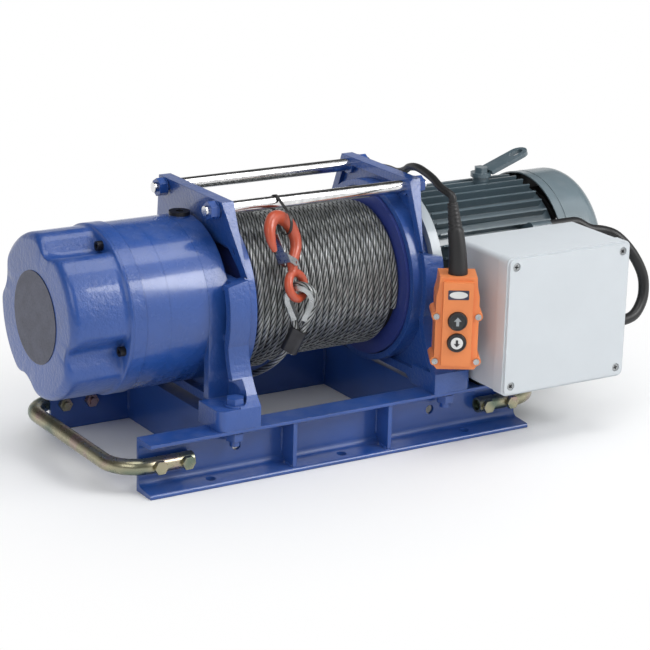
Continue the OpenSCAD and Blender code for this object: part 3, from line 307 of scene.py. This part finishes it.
def wind_rope():
    """The turns that show are laid as rope, and the hidden ones below are one plain sleeve."""
    low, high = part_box("wound_rope")
    top = (high[1] - low[1]) / 2 - ROPE / 2
    under = top - 0.866 * ROPE
    pitch = 10.2 * MM
    first = -11 * pitch
    radius = ROPE / 2 * 0.985
    full = helix(under, first - 0.4 * pitch, pitch, 22.8)
    main = rope_mesh("rope_on_drum", full, "drum", radius, (1, 0, 0))
    part = helix(top, first - 0.1 * pitch, pitch, 4.9)
    last = rope_mesh("rope_top_layer", part, "drum", radius, (1, 0, 0))
    inner, outer, half = 83.6 * MM, under - 2.2 * MM, 120.5 * MM
    shape = bmesh.new()
    corners = [shape.verts.new(AXIS + Vector((x, 0, r)))
               for x, r in ((-half, inner), (-half, outer), (half, outer), (half, inner))]
    spin_line(shape, corners, AXIS, (1, 0, 0), 96)
    core = finish_mesh("rope_lower_layer", shape, "drum", "rope_steel")
    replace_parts(main, "wound_rope")
    return main, last, core


ROPE_PIECES = list(wind_rope())


def thimble_frame():
    place = Vector((-58.5, -130.5, 230.5)) * MM
    turned = Matrix.Rotation(math.radians(-45), 4, "Z") @ Matrix.Rotation(math.radians(2), 4, "X")
    return Matrix.Translation(place) @ turned


def rope_end():
    """The rope's end: round the thimble, through the ferrule, then down and under the drum."""
    here = thimble_frame()
    loop_r, half, drop, sleeve = 20.5, 5.2, 40, 38
    turn = math.atan2(drop, half) - math.acos(loop_r / math.hypot(drop, half))
    lean = Matrix.Translation((0, 0, -drop)) @ Matrix.Rotation(math.radians(24), 4, "Y")
    crown = []
    for i in range(41):
        angle = -turn + (math.pi + 2 * turn) * i / 40
        crown.append(Vector((loop_r * math.cos(angle), 0, loop_r * math.sin(angle))))
    points = [lean @ Vector((half, 0, -z)) for z in (sleeve + 2, sleeve / 2, 3)] + crown
    points += [lean @ Vector((-half, 0, -z)) for z in (3, sleeve / 2, sleeve, sleeve + 10)]
    points = [here @ (p * MM) for p in points]
    points += millimetres([(-84, -100, 133), (-93, -80, 118), (-100, -50, 104), (-107, -16, 96),
                           (-112, 20, 97), (-113, 60, 114)])
    rough = smooth_path(points, 10)
    # Points that crowd the loop are thinned to an even step.
    path, wait = [rough[0]], 0.0
    for a, b in zip(rough, rough[1:]):
        wait += (b - a).length
        if wait >= 0.0036:
            path.append(b)
            wait = 0.0
    end = rope_mesh("rope_end_loop", path, "frame", 4.65 * MM, (0, 1, 0))
    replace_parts(end, "rope_tail")
    return end


ROPE_PIECES.append(rope_end())


# ---------------------------------------------------------------- gear end cover
def bell():
    """The gear end cover as it is cast: four valleys with soft brows fade into a rounded face."""
    low, high = (Vector(corner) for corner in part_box("gear_end_cover"))
    flange = (high.y - low.y) / 2
    face, wall, edge, step = low.x, 0.113, 0.012, 0.005
    valleys, spread = (18, 108, 198, 288), 19
    shape = bmesh.new()

    def depth(angle):
        nearest = min(abs((angle - valley + 180) % 360 - 180) for valley in valleys)
        return 0.5 + 0.5 * math.cos(math.pi * min(1, nearest / spread))

    def ring(x, radius, cut=0.0):
        made = []
        for a in circle(192):
            r = radius - cut * depth(math.degrees(a))
            made.append(shape.verts.new((x, AXIS.y - r * math.sin(a), AXIS.z + r * math.cos(a))))
        return made

    rings = [ring(face, radius) for radius in (0.02, 0.05, 0.066)]
    for k in range(9):
        turn = math.pi / 2 * k / 8
        cut = 0.008 + 0.013 * (k / 8) ** 0.7
        rings.append(ring(face + edge * (1 - math.cos(turn)), wall - edge * (1 - math.sin(turn)), cut))
    seat = high.x - step
    rings += [ring(face + 0.03, wall, 0.022), ring(seat - 0.008, wall, 0.022)]
    rings += [ring(seat - 0.002, wall, 0.021)]
    rings += [ring(seat, wall + 0.002, 0.018), ring(seat, flange - 0.001), ring(seat + 0.001, flange)]
    rings += [ring(high.x, flange), ring(high.x, 0.03)]
    skin(shape, rings)
    piece = finish_mesh("gear_cover_casting", shape, "frame", "blue_casting", 50)
    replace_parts(piece, "gear_end_cover")
    return piece


COVER = bell()


# ---------------------------------------------------------------- finishes
class Value:
    """A socket in a material, with arithmetic."""

    def __init__(self, finish, socket):
        self.finish = finish
        self.socket = socket

    def maths(self, operation, *others):
        inputs = dict(enumerate((self,) + others))
        return self.finish.add("ShaderNodeMath", {"operation": operation}, inputs)

    def reflected(self, operation, other):
        return self.finish.add("ShaderNodeMath", {"operation": operation}, {0: other, 1: self})

    def __add__(self, other):
        return self.maths("ADD", other)

    __radd__ = __add__

    def __sub__(self, other):
        return self.maths("SUBTRACT", other)

    def __rsub__(self, other):
        return self.reflected("SUBTRACT", other)

    def __mul__(self, other):
        return self.maths("MULTIPLY", other)

    __rmul__ = __mul__


class Finish:
    """A material built node by node."""

    def __init__(self, name):
        self.material = bpy.data.materials.new(name)
        self.material.use_nodes = True
        self.nodes = self.material.node_tree.nodes
        self.links = self.material.node_tree.links
        self.nodes.clear()
        self.surface = self.nodes.new("ShaderNodeBsdfPrincipled")
        self.output = self.nodes.new("ShaderNodeOutputMaterial")
        self.links.new(self.surface.outputs[0], self.output.inputs["Surface"])

    def add(self, kind, settings=None, inputs=None, output=0):
        node = self.nodes.new(kind)
        for key, setting in (settings or {}).items():
            setattr(node, key, setting)
        for key, value in (inputs or {}).items():
            self.feed(node.inputs[key], value)
        return Value(self, node.outputs[output])

    def feed(self, socket, value):
        if isinstance(value, Value):
            self.links.new(value.socket, socket)
        elif isinstance(value, tuple) and len(value) == 3 and socket.type == "RGBA":
            socket.default_value = (*value, 1)
        else:
            socket.default_value = value

    def set(self, **sockets):
        for key, value in sockets.items():
            self.feed(self.surface.inputs[key.replace("_", " ")], value)

    def place(self):
        return self.add("ShaderNodeTexCoord", output="Object")

    def noise(self, scale, detail=3.0, rough=0.55, vector=None):
        inputs = {"Vector": vector or self.place(), "Scale": scale, "Detail": detail, "Roughness": rough}
        return self.add("ShaderNodeTexNoise", {}, inputs)

    def ramp(self, value, low, high):
        inputs = {"Value": value, 1: low, 2: high}
        return self.add("ShaderNodeMapRange", {"interpolation_type": "SMOOTHSTEP"}, inputs)

    def mix(self, factor, first, second):
        return self.add("ShaderNodeMix", {"data_type": "RGBA"}, {0: factor, 6: first, 7: second}, output=2)

    def bump(self, height, strength, distance, normal=None):
        inputs = {"Height": height, "Strength": strength, "Distance": distance}
        if normal:
            inputs["Normal"] = normal
        return self.add("ShaderNodeBump", {}, inputs)

    def rounded(self, radius):
        return self.add("ShaderNodeBevel", {"samples": 4}, {"Radius": radius})

    def upward(self):
        normal = self.add("ShaderNodeNewGeometry", output="Normal")
        return self.add("ShaderNodeSeparateXYZ", {}, {0: normal}, output=2)


def shade_of(colour, factor):
    return tuple(min(1, c * factor) for c in colour)


def paint(name, colour, rough=0.3, coat=0.5, peel=0.1, sand=0.0, edge=1.2 * MM):
    """Sprayed enamel: a soft orange peel over a smooth or a sand-cast face, with a little dust on top."""
    f = Finish(name)
    tone = f.mix(f.ramp(f.noise(7, 4), 0.3, 0.7), shade_of(colour, 0.86), shade_of(colour, 1.12))
    dust = f.ramp(f.upward(), 0.55, 1.0) * f.ramp(f.noise(38, 5, 0.65), 0.35, 0.75) * 0.1
    f.set(Base_Color=f.mix(dust, tone, (0.42, 0.43, 0.45)), Coat_Roughness=0.09, Coat_Weight=coat)
    f.set(Roughness=rough + 0.12 * f.noise(55, 4) - 0.05)
    normal = f.rounded(edge)
    if sand:
        pits = f.ramp(f.noise(150, 3), 0.3, 0.62)
        normal = f.bump(f.noise(430, 6, 0.6) * 0.7 + pits * 0.5, sand, 0.0006, normal)
    f.set(Normal=f.bump(f.noise(260, 2), peel, 0.0003, normal))
    return f.material


def metal(name, colour, rough=0.25, scratch=0.15, metallic=1.0, grain=(40, 40, 40)):
    """Bare or plated metal with fine scratches and smudges."""
    f = Finish(name)
    stretched = f.add("ShaderNodeMapping", {}, {"Vector": f.place(), "Scale": grain})
    streak = f.noise(9, 5, 0.6, stretched)
    tone = f.mix(f.ramp(f.noise(60, 4), 0.3, 0.7), shade_of(colour, 0.8), shade_of(colour, 1.1))
    f.set(Base_Color=tone, Metallic=metallic, Roughness=rough + 0.2 * f.ramp(streak, 0.35, 0.8))
    f.set(Normal=f.bump(streak, scratch, 0.0002, f.rounded(0.6 * MM)))
    return f.material


def plated(name):
    """Yellow passivated zinc: a smooth film that drifts between olive, straw and rose."""
    f = Finish(name)
    drift = f.noise(16, 2)
    tone = f.mix(f.ramp(drift, 0.36, 0.52), (0.17, 0.21, 0.16), (0.40, 0.37, 0.25))
    tone = f.mix(f.ramp(drift, 0.52, 0.66), tone, (0.44, 0.30, 0.29))
    f.set(Base_Color=tone, Metallic=0.92, Roughness=0.24 + 0.08 * f.noise(120, 3))
    f.set(Normal=f.bump(f.noise(300, 2), 0.02, 0.0002, f.rounded(0.6 * MM)))
    return f.material


def moulded(name, colour, rough=0.5, grain=0.12, grain_scale=900, specular=0.5, smudge=1.0):
    """Moulded plastic or rubber: an even colour, a fine spark-eroded grain and a few smudges."""
    f = Finish(name)
    dark, light = shade_of(colour, 1 - 0.07 * smudge), shade_of(colour, 1 + 0.05 * smudge)
    f.set(Base_Color=f.mix(f.ramp(f.noise(14, 4), 0.3, 0.75), dark, light), Specular_IOR_Level=specular)
    f.set(Roughness=rough + 0.1 * f.noise(45, 4) - 0.05)
    f.set(Normal=f.bump(f.noise(grain_scale, 2), grain, 0.0002, f.rounded(0.8 * MM)))
    return f.material


def wire_rope(name):
    """Galvanised strands: single wires show as fine slanted ridges with painted shade in the grooves between
    them, and the dark between the strands is grease and painted shade.
    """
    f = Finish(name)
    uv = f.add("ShaderNodeUVMap", {"uv_map": "along"})
    along = f.add("ShaderNodeSeparateXYZ", {}, {0: uv}, output=0)
    around = f.add("ShaderNodeSeparateXYZ", {}, {0: uv}, output=1)
    middle = (around.maths("FRACT") - 0.5).maths("ABSOLUTE") * 2
    wires = ((along * 0.9 + around * 5).maths("FRACT") - 0.5).maths("ABSOLUTE") * 2
    grease_and_shade = f.ramp(middle, 0.38, 0.9)
    tone = f.mix(f.ramp(f.noise(70, 4), 0.3, 0.7), (0.30, 0.315, 0.31), (0.60, 0.62, 0.62))
    # The grooves between single wires are darkened: painted shade.
    tone = f.mix(f.ramp(wires, 0.55, 1.0) * 0.55, tone, (0.10, 0.10, 0.10))
    # Near black between the strands: grease and painted shade.
    tone = f.mix(grease_and_shade * 0.95, tone, (0.018, 0.018, 0.018))
    f.set(Base_Color=tone, Metallic=0.85)
    f.set(Roughness=0.34 + 0.3 * grease_and_shade)
    f.set(Normal=f.bump(1 - wires, 0.6, 0.0004))
    return f.material


BLUE = (0.018, 0.070, 0.285)
FINISHES = {
    "blue_enamel": paint("blue_enamel", BLUE, sand=0.05),
    "blue_casting": paint("blue_casting", BLUE, sand=0.9, edge=2 * MM),
    "blue_gloss": paint("blue_gloss", BLUE, rough=0.26, coat=0.6, peel=0.06),
    "zinc": plated("yellow_zinc"),
    "chrome": metal("bright_bar", (0.80, 0.80, 0.80), 0.09, 0.03, grain=(3, 60, 60)),
    "drum_paint": paint("drum_enamel", (0.03, 0.05, 0.24), rough=0.35, sand=0.2),
    "rope_steel": wire_rope("wire_rope"),
    "bronze": metal("bearing_bronze", (0.62, 0.40, 0.17), 0.35),
    "black_steel": metal("blackened_steel", (0.035, 0.035, 0.04), 0.38, 0.1, metallic=0.7),
    "name_plate": metal("dark_disc", (0.06, 0.065, 0.10), 0.3, 0.05, metallic=0.6),
    "gear_steel": metal("machined_steel", (0.50, 0.50, 0.52), 0.3, 0.12),
    "fan_plastic": moulded("fan_moulding", (0.02, 0.02, 0.02), 0.5),
    "motor_light": paint("motor_flange_paint", (0.42, 0.47, 0.50), rough=0.4),
    "motor_paint": paint("motor_paint", (0.075, 0.110, 0.130), coat=0.6, sand=0.2),
    "fan_cover_paint": paint("fan_cover_paint", (0.16, 0.21, 0.235), rough=0.2, coat=0.8, peel=0.05),
    "plated_steel": metal("bright_zinc", (0.46, 0.48, 0.49), 0.26, 0.05),
    "ferrule_alloy": metal("blackened_sleeve", (0.055, 0.055, 0.06), 0.34, 0.12, metallic=0.8),
    "box_plastic": moulded("box_moulding", (0.585, 0.62, 0.645), 0.5, 0.2, 1400, specular=0.35, smudge=0.25),
    "cable_jacket": moulded("cable_jacket", (0.014, 0.014, 0.015), 0.42, 0.1),
    "boot_rubber": moulded("boot_rubber", (0.016, 0.016, 0.017), 0.46, 0.1),
    "pendant_plastic": moulded("pendant_moulding", (0.80, 0.245, 0.075), 0.42, 0.16, 1100),
    "button_black": moulded("black_cap", (0.018, 0.018, 0.02), 0.35, 0.05),
    "button_white": moulded("white_cap", (0.72, 0.72, 0.70), 0.4, 0.05),
    "arrow_grey": moulded("arrow_inlay", (0.34, 0.36, 0.38), 0.45, 0.05),
    "hook_paint": paint("hook_enamel", (0.45, 0.070, 0.028), rough=0.36, coat=0.4, sand=0.3, edge=0.5 * MM),
    "tie_plastic": moulded("nylon_strap", (0.02, 0.02, 0.02), 0.4),
}
NODE_SLOTS = {part["node"]: part["material_slot"] for part in frame["record"]["subparts"]}
for node, piece in frame["nodes"].items():
    piece.data.materials.clear()
    piece.data.materials.append(FINISHES[NODE_SLOTS[node]])


# ---------------------------------------------------------------- detail pieces
def finished(piece, slot):
    piece.data.materials.clear()
    piece.data.materials.append(FINISHES[slot])
    return piece


def detail(name, shape, body, slot):
    """A mesh piece with its finish on."""
    return finished(finish_mesh(name, shape, body, slot), slot)


for rope in ROPE_PIECES:
    finished(rope, "rope_steel")
finished(COVER, "blue_casting")
for cord in ("pendant_cord", "motor_cord"):
    finished(bpy.data.objects[cord], "cable_jacket")


# ---------------------------------------------------------------- hook
def hook_frame():
    place = Vector((-63, -126.5, 249)) * MM
    turned = Matrix.Rotation(math.radians(25), 4, "Z") @ Matrix.Rotation(math.radians(-18), 4, "X")
    return Matrix.Translation(place) @ turned


def forge_hook():
    """Eye and bowl are swept separately, then fused so that the neck flows into the eye."""
    line = [(0, 0, 19), (1.5, 0, 25), (3, 0, 31), (12, 0, 40), (20, 0, 50), (22, 0, 66), (14, 0, 84),
            (-2, 0, 95), (-17, 0, 95), (-28, 0, 84), (-31, 0, 69), (-29, 0, 56)]
    reach = list(enumerate([7, 7.4, 7.8, 8, 8.5, 9, 9.5, 9.5, 9.5, 8.5, 7, 4.2]))
    steps = 6
    over = Vector((0, 1, 0))
    path = smooth_path(line, steps)
    shape = bmesh.new()
    rings = []
    for i, place in enumerate(path):
        out = ahead_at(path, i).cross(over)
        ring = []
        for a in circle(20):
            radius = level(reach, i / steps) * (0.94 + 0.06 * math.cos(2 * a))
            ring.append(shape.verts.new(place + radius * (math.cos(a) * out + math.sin(a) * over)))
        rings.append(ring)
    skin(shape, rings)
    bmesh.ops.create_icosphere(shape, subdivisions=3, radius=4.1, matrix=Matrix.Translation(path[-1]))
    eye = round_ring(shape, Vector((17.5, 0, 0)), Vector((1, 0, 0)), over, 5.95, 20)
    spin_line(shape, eye, (0, 0, 0), over, 64)
    bmesh.ops.transform(shape, matrix=hook_frame() @ Matrix.Scale(MM, 4), verts=shape.verts)
    piece = detail("hook_forging", shape, "frame", "hook_paint")
    remesh = piece.modifiers.new("fuse", "REMESH")
    remesh.mode = "VOXEL"
    remesh.voxel_size = 0.0011
    remesh.use_smooth_shade = True
    soften = piece.modifiers.new("soften", "SMOOTH")
    soften.iterations = 4
    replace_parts(piece, "rope_hook")


forge_hook()


# ---------------------------------------------------------------- pendant
UP_HEIGHT, DOWN_HEIGHT, LABEL_HEIGHT = 0.197, 0.1665, 0.234


def pendant_frame():
    return Matrix.Translation(PENDANT) @ Matrix.Rotation(math.radians(-30), 4, "Z")


def lathe(name, body, slot, where, outline):
    """An outline of radius and height in millimetres, turned about the Z of the place where it stands."""
    shape = bmesh.new()
    verts = [shape.verts.new((r * MM, 0, z * MM)) for r, z in outline]
    spin_line(shape, verts, (0, 0, 0), (0, 0, 1), 48, closed=False)
    bmesh.ops.remove_doubles(shape, verts=shape.verts, dist=1e-6)
    bmesh.ops.transform(shape, matrix=where, verts=shape.verts)
    return detail(name, shape, body, slot)


def slab(name, body, slot, outline, front, thick):
    """A flat piece on the pendant: an outline in X and Z, raised from its front towards the viewer."""
    shape = bmesh.new()
    face = shape.faces.new([shape.verts.new((x, front, z)) for x, z in outline])
    raised = bmesh.ops.extrude_face_region(shape, geom=[face])["geom"]
    corners = [v for v in raised if isinstance(v, bmesh.types.BMVert)]
    bmesh.ops.translate(shape, vec=(0, -thick, 0), verts=corners)
    bmesh.ops.transform(shape, matrix=pendant_frame(), verts=shape.verts)
    return detail(name, shape, body, slot)


def button_frame(height):
    """The middle of a button's face, with Z coming out of it."""
    face = Matrix.Translation((0, -0.029, height)) @ Matrix.Rotation(math.radians(90), 4, "X")
    return pendant_frame() @ face


def buttons():
    """Two caps with a rim and a dished face; the lower one has a pale inlay."""
    rim = [(0, -18), (11.6, -18), (13, -17), (13, -1.6), (12.6, -0.5), (11.8, 0), (10.8, -0.1),
           (10.2, -0.9), (8.6, -0.9)]
    up, down = button_frame(UP_HEIGHT), button_frame(DOWN_HEIGHT)
    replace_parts(lathe("up_cap", "up_button", "button_black", up, rim + [(7.0, -0.6), (0, -0.4)]), "up_button")
    skirt = lathe("down_skirt", "down_button", "button_black", down, rim + [(8.5, -1.6), (0, -1.6)])
    inlay = [(0, -1.4), (8.2, -1.4), (8.4, -0.5), (7.9, -0.1), (0, 0)]
    lathe("down_cap", "down_button", "button_white", down, inlay)
    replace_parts(skirt, "down_button")


def arrow(name, body, slot, height, size, front):
    """A block arrow lying on a button cap; a negative size points it down."""
    outline = [(0, 1.0), (0.80, 0.1), (0.30, 0.1), (0.30, -0.9), (-0.30, -0.9), (-0.30, 0.1), (-0.80, 0.1)]
    slab(name, body, slot, [(x * size, height + z * size) for x, z in outline], front, 0.6 * MM)


buttons()
arrow("up_arrow", "up_button", "arrow_grey", UP_HEIGHT, 6.5 * MM, -0.0284)
arrow("down_arrow", "down_button", "button_black", DOWN_HEIGHT, -5.2 * MM, -0.0288)


def label():
    """A bare dark plate with a plain pale oval, over the buttons."""
    plate = [(x * MM, LABEL_HEIGHT + z * MM) for x, z in rounded_box(14.2, 6.6, 1.5, steps=6)]
    slab("pendant_label", "frame", "name_plate", plate, -24.8 * MM, 0.7 * MM)
    oval = [(12.4 * MM * math.cos(a), LABEL_HEIGHT + 4.9 * MM * math.sin(a)) for a in circle(48)]
    slab("pendant_label_oval", "frame", "button_white", oval, -25.3 * MM, 0.35 * MM)


label()


def boot():
    """The moulded boot: a plain cone below, a ribbed neck above."""
    path = smooth_path(boot_line(), 14)
    total = path_length(path)
    stops = [(0, 13.4), (0.06, 13.2), (0.52, 11.4), (0.60, 11.0), (0.62, 10.2), (0.98, 7.4), (1.0, 6.6)]
    shape = bmesh.new()
    rings = []
    for i, place in enumerate(path):
        t = path_length(path[:i + 1]) / total
        radius = level(stops, t)
        if 0.64 < t < 0.97:
            radius -= 0.9 * (0.5 + 0.5 * math.cos(2 * math.pi * (t - 0.64) / 0.055)) ** 2
        ahead = ahead_at(path, i)
        side = ahead.cross(Vector((0, 1, 0))).normalized()
        rings.append(round_ring(shape, place, side, side.cross(ahead), radius * MM, 36))
    skin(shape, rings)
    piece = detail("cable_boot", shape, "frame", "boot_rubber")
    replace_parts(piece, "pendant_boot")


boot()


# ---------------------------------------------------------------- fan and control box
BOX_X, BOX_Z = 311, 181.5


def box_seal():
    """The seal between lid and box: a rounded rectangular band standing in X and Z."""
    thick, front, back = 3, -216, -214.6
    shape = bmesh.new()
    rings = []
    for inset, y in ((0, front), (0, back), (thick, back), (thick, front)):
        outline = rounded_box(105.3, 98.8, 8.4, inset)
        rings.append([shape.verts.new(Vector((BOX_X + x, y, BOX_Z + z)) * MM) for x, z in outline])
    skin(shape, rings, ends=False)
    detail("box_seal", shape, "frame", "boot_rubber")


def air_guide():
    """A dark ring behind the grille, from the fan's eye out to the cover's wall: painted shade for the dark
    inside of the fan cover.
    """
    inner, outer, near, far = 0.062, 0.1108, 0.4385, 0.440
    shape = bmesh.new()
    rings = [[shape.verts.new(AXIS + Vector((x, r * math.sin(a), r * math.cos(a)))) for a in circle(72)]
             for x, r in ((near, inner), (near, outer), (far, outer), (far, inner))]
    skin(shape, rings, ends=False)
    detail("air_guide", shape, "frame", "fan_plastic")


air_guide()
box_seal()


# ---------------------------------------------------------------- welds and screws
def bead(name, start, end, size):
    """A run of weld: overlapping ripples along a joint."""
    start, end = millimetres((start, end))
    way = (end - start).normalized()
    side = way.cross(Vector((0.3, 0.5, 0.8))).normalized()
    over = side.cross(way)
    ripple_step = 2.6 * MM / 3
    count = max(4, int((end - start).length / ripple_step))
    shape = bmesh.new()
    rings = []
    dice = random.Random(len(name) + count)
    for i in range(count + 1):
        t = i / count
        ripple = 0.86 + 0.14 * abs(math.sin(math.pi * i / 3)) + dice.uniform(-0.04, 0.04)
        radius = size * MM * ripple * min(1, 0.35 + 6 * min(t, 1 - t))
        rings.append(round_ring(shape, start + (end - start) * t, side, over, radius, 10))
    skin(shape, rings)
    detail(name, shape, "frame", "blue_enamel")


def beads():
    """Welds of the gussets and cross-members to the rails, on the sides that show."""
    for side in (-1, 1):
        for k, x in enumerate((-83, 70)):
            for flank in (-3, 3):
                tag = f"{k}_{side + 1}_{flank + 3}"
                bead("gusset_weld_" + tag, (x + flank, side * 135.3, 17), (x + flank, side * 135.3, 58), 2.3)
                bead("gusset_foot_" + tag, (x + flank, side * 145, 7.6), (x + flank, side * 164, 6.6), 2.2)
        for k, x in enumerate((-182, 147)):
            bead(f"cross_weld_{k}_{side + 1}", (x, side * 129.6, 10), (x, side * 129.6, 64), 2.6)


def crosses():
    """Dark cross bars on the lid's screws: painted shade standing for the driver recesses in shadow."""
    long, short = 6.5714, 1.5714
    for i in (-1, 1):
        for j in (-1, 1):
            middle = Vector((BOX_X + 92 * i, -238.72, BOX_Z + 85.5 * j)) * MM
            place = Matrix.Translation(middle) @ Matrix.Rotation(math.radians(12 * i + 30 * j), 4, "Y")
            shape = bmesh.new()
            for wide, high in ((long, short), (short, long)):
                size = Matrix.Diagonal((wide * MM, 0.3 * MM, high * MM, 1))
                bmesh.ops.create_cube(shape, size=1, matrix=place @ size)
            detail(f"lid_cross_{i + 1}_{j + 1}", shape, "frame", "button_black")


beads()
crosses()


# ---------------------------------------------------------------- floor, lamps, world
def rays_that_see(tree):
    """One for camera, mirror and glass rays, and nought for the rays that carry the light."""
    path = tree.nodes.new("ShaderNodeLightPath")
    total = path.outputs["Is Camera Ray"]
    for name in ("Is Glossy Ray", "Is Transmission Ray"):
        either = tree.nodes.new("ShaderNodeMath")
        either.operation = "MAXIMUM"
        tree.links.new(total, either.inputs[0])
        tree.links.new(path.outputs[name], either.inputs[1])
        total = either.outputs[0]
    return total


def floor():
    """A pale floor that keeps the shadow near the object and is plain white farther off."""
    shape = bmesh.new()
    bmesh.ops.create_grid(shape, x_segments=1, y_segments=1, size=9)
    bmesh.ops.translate(shape, vec=(0, 0, -0.0005), verts=shape.verts)
    mesh = bpy.data.meshes.new("floor")
    shape.to_mesh(mesh)
    shape.free()
    piece = bpy.data.objects.new("floor", mesh)
    bpy.context.scene.collection.objects.link(piece)
    f = Finish("floor_white")
    f.set(Base_Color=(0.88, 0.88, 0.88), Roughness=0.7, Specular_IOR_Level=0.2)
    oval = {"Vector": f.place(), "Location": (-0.06, 0.0, 0.0), "Scale": (0.85, 1.0, 1.0)}
    spread = f.add("ShaderNodeMapping", {}, oval)
    far = f.ramp(f.add("ShaderNodeVectorMath", {"operation": "LENGTH"}, {0: spread}, output=1), 0.25, 0.75)
    glow = f.nodes.new("ShaderNodeEmission")
    mix = f.nodes.new("ShaderNodeMixShader")
    seen = Value(f, rays_that_see(f.material.node_tree))
    f.links.new((seen * far).socket, mix.inputs[0])
    f.links.new(f.surface.outputs[0], mix.inputs[1])
    f.links.new(glow.outputs[0], mix.inputs[2])
    f.links.new(mix.outputs[0], f.output.inputs["Surface"])
    mesh.materials.append(f.material)


def lamp(name, place, target, size, power):
    light = bpy.data.lights.new(name, "AREA")
    light.shape = "RECTANGLE"
    light.size, light.size_y = size
    light.energy = power
    piece = bpy.data.objects.new(name, light)
    bpy.context.scene.collection.objects.link(piece)
    way = Vector(target) - Vector(place)
    piece.matrix_world = Matrix.Translation(place) @ way.to_track_quat("-Z", "Y").to_matrix().to_4x4()
    return piece


def sky():
    """Lit rays meet an even pale room, mirrored rays a pale front and a darker back, the camera white."""
    world = bpy.data.worlds.new("studio")
    bpy.context.scene.world = world
    world.use_nodes = True
    tree = world.node_tree
    tree.nodes.clear()

    def node(kind, links=(), **settings):
        made = tree.nodes.new(kind)
        for name, value in settings.items():
            setattr(made, name, value)
        for socket, value in links:
            if hasattr(value, "is_output"):
                tree.links.new(value, made.inputs[socket])
            else:
                made.inputs[socket].default_value = value
        return made

    def room(colour, strength=1.0):
        return node("ShaderNodeBackground", [("Color", colour), ("Strength", strength)]).outputs[0]

    way = node("ShaderNodeSeparateXYZ", [(0, node("ShaderNodeNewGeometry").outputs["Incoming"])])
    height = node("ShaderNodeMath", [(0, way.outputs[2])], operation="ABSOLUTE").outputs[0]
    back = node("ShaderNodeValToRGB", [(0, height)])
    steps = [(0.0, 0.5), (0.22, 0.55), (0.40, 0.04), (1.0, 0.06)]
    while len(back.color_ramp.elements) < len(steps):
        back.color_ramp.elements.new(0.5)
    for element, (at, level) in zip(back.color_ramp.elements, steps):
        element.position = at
        element.color = (level, level, level, 1)
    front = node("ShaderNodeMapRange", [("Value", way.outputs[1]), ("From Min", -0.02), ("From Max", 0.22)],
                 interpolation_type="SMOOTHSTEP").outputs[0]
    turned = [("Value", way.outputs[0]), ("From Min", -0.2), ("From Max", -0.45), ("To Min", 0.15)]
    right = node("ShaderNodeMapRange", turned, interpolation_type="SMOOTHSTEP").outputs[0]
    mirrored = node("ShaderNodeMix", [(0, front), (6, back.outputs[0]), (7, right)], data_type="RGBA")
    path = node("ShaderNodeLightPath").outputs
    seen = room((1, 1, 1, 1))
    result = room((0.95, 0.97, 1, 1), 0.58)
    rooms = {"Is Glossy Ray": room(mirrored.outputs[2]), "Is Transmission Ray": seen, "Is Camera Ray": seen}
    for ray, shader in rooms.items():
        result = node("ShaderNodeMixShader", [(0, path[ray]), (1, result), (2, shader)]).outputs[0]
    node("ShaderNodeOutputWorld", [("Surface", result)])


def studio():
    floor()
    lamp("key", (1.5, -2.0, 1.85), (0, 0, 0.2), (1.1, 1.1), 36)
    lamp("overhead", (0.1, -0.45, 2.4), (0, 0, 0.2), (2.2, 1.0), 18)
    lamp("fill", (-1.8, -1.5, 1.5), (0, 0, 0.2), (1.4, 1.2), 10)
    lamp("rim", (0.6, 2.2, 1.3), (0, 0, 0.2), (1.6, 1.0), 14).visible_glossy = False
    sky()
    bpy.context.scene.view_settings.view_transform = "Standard"


studio()
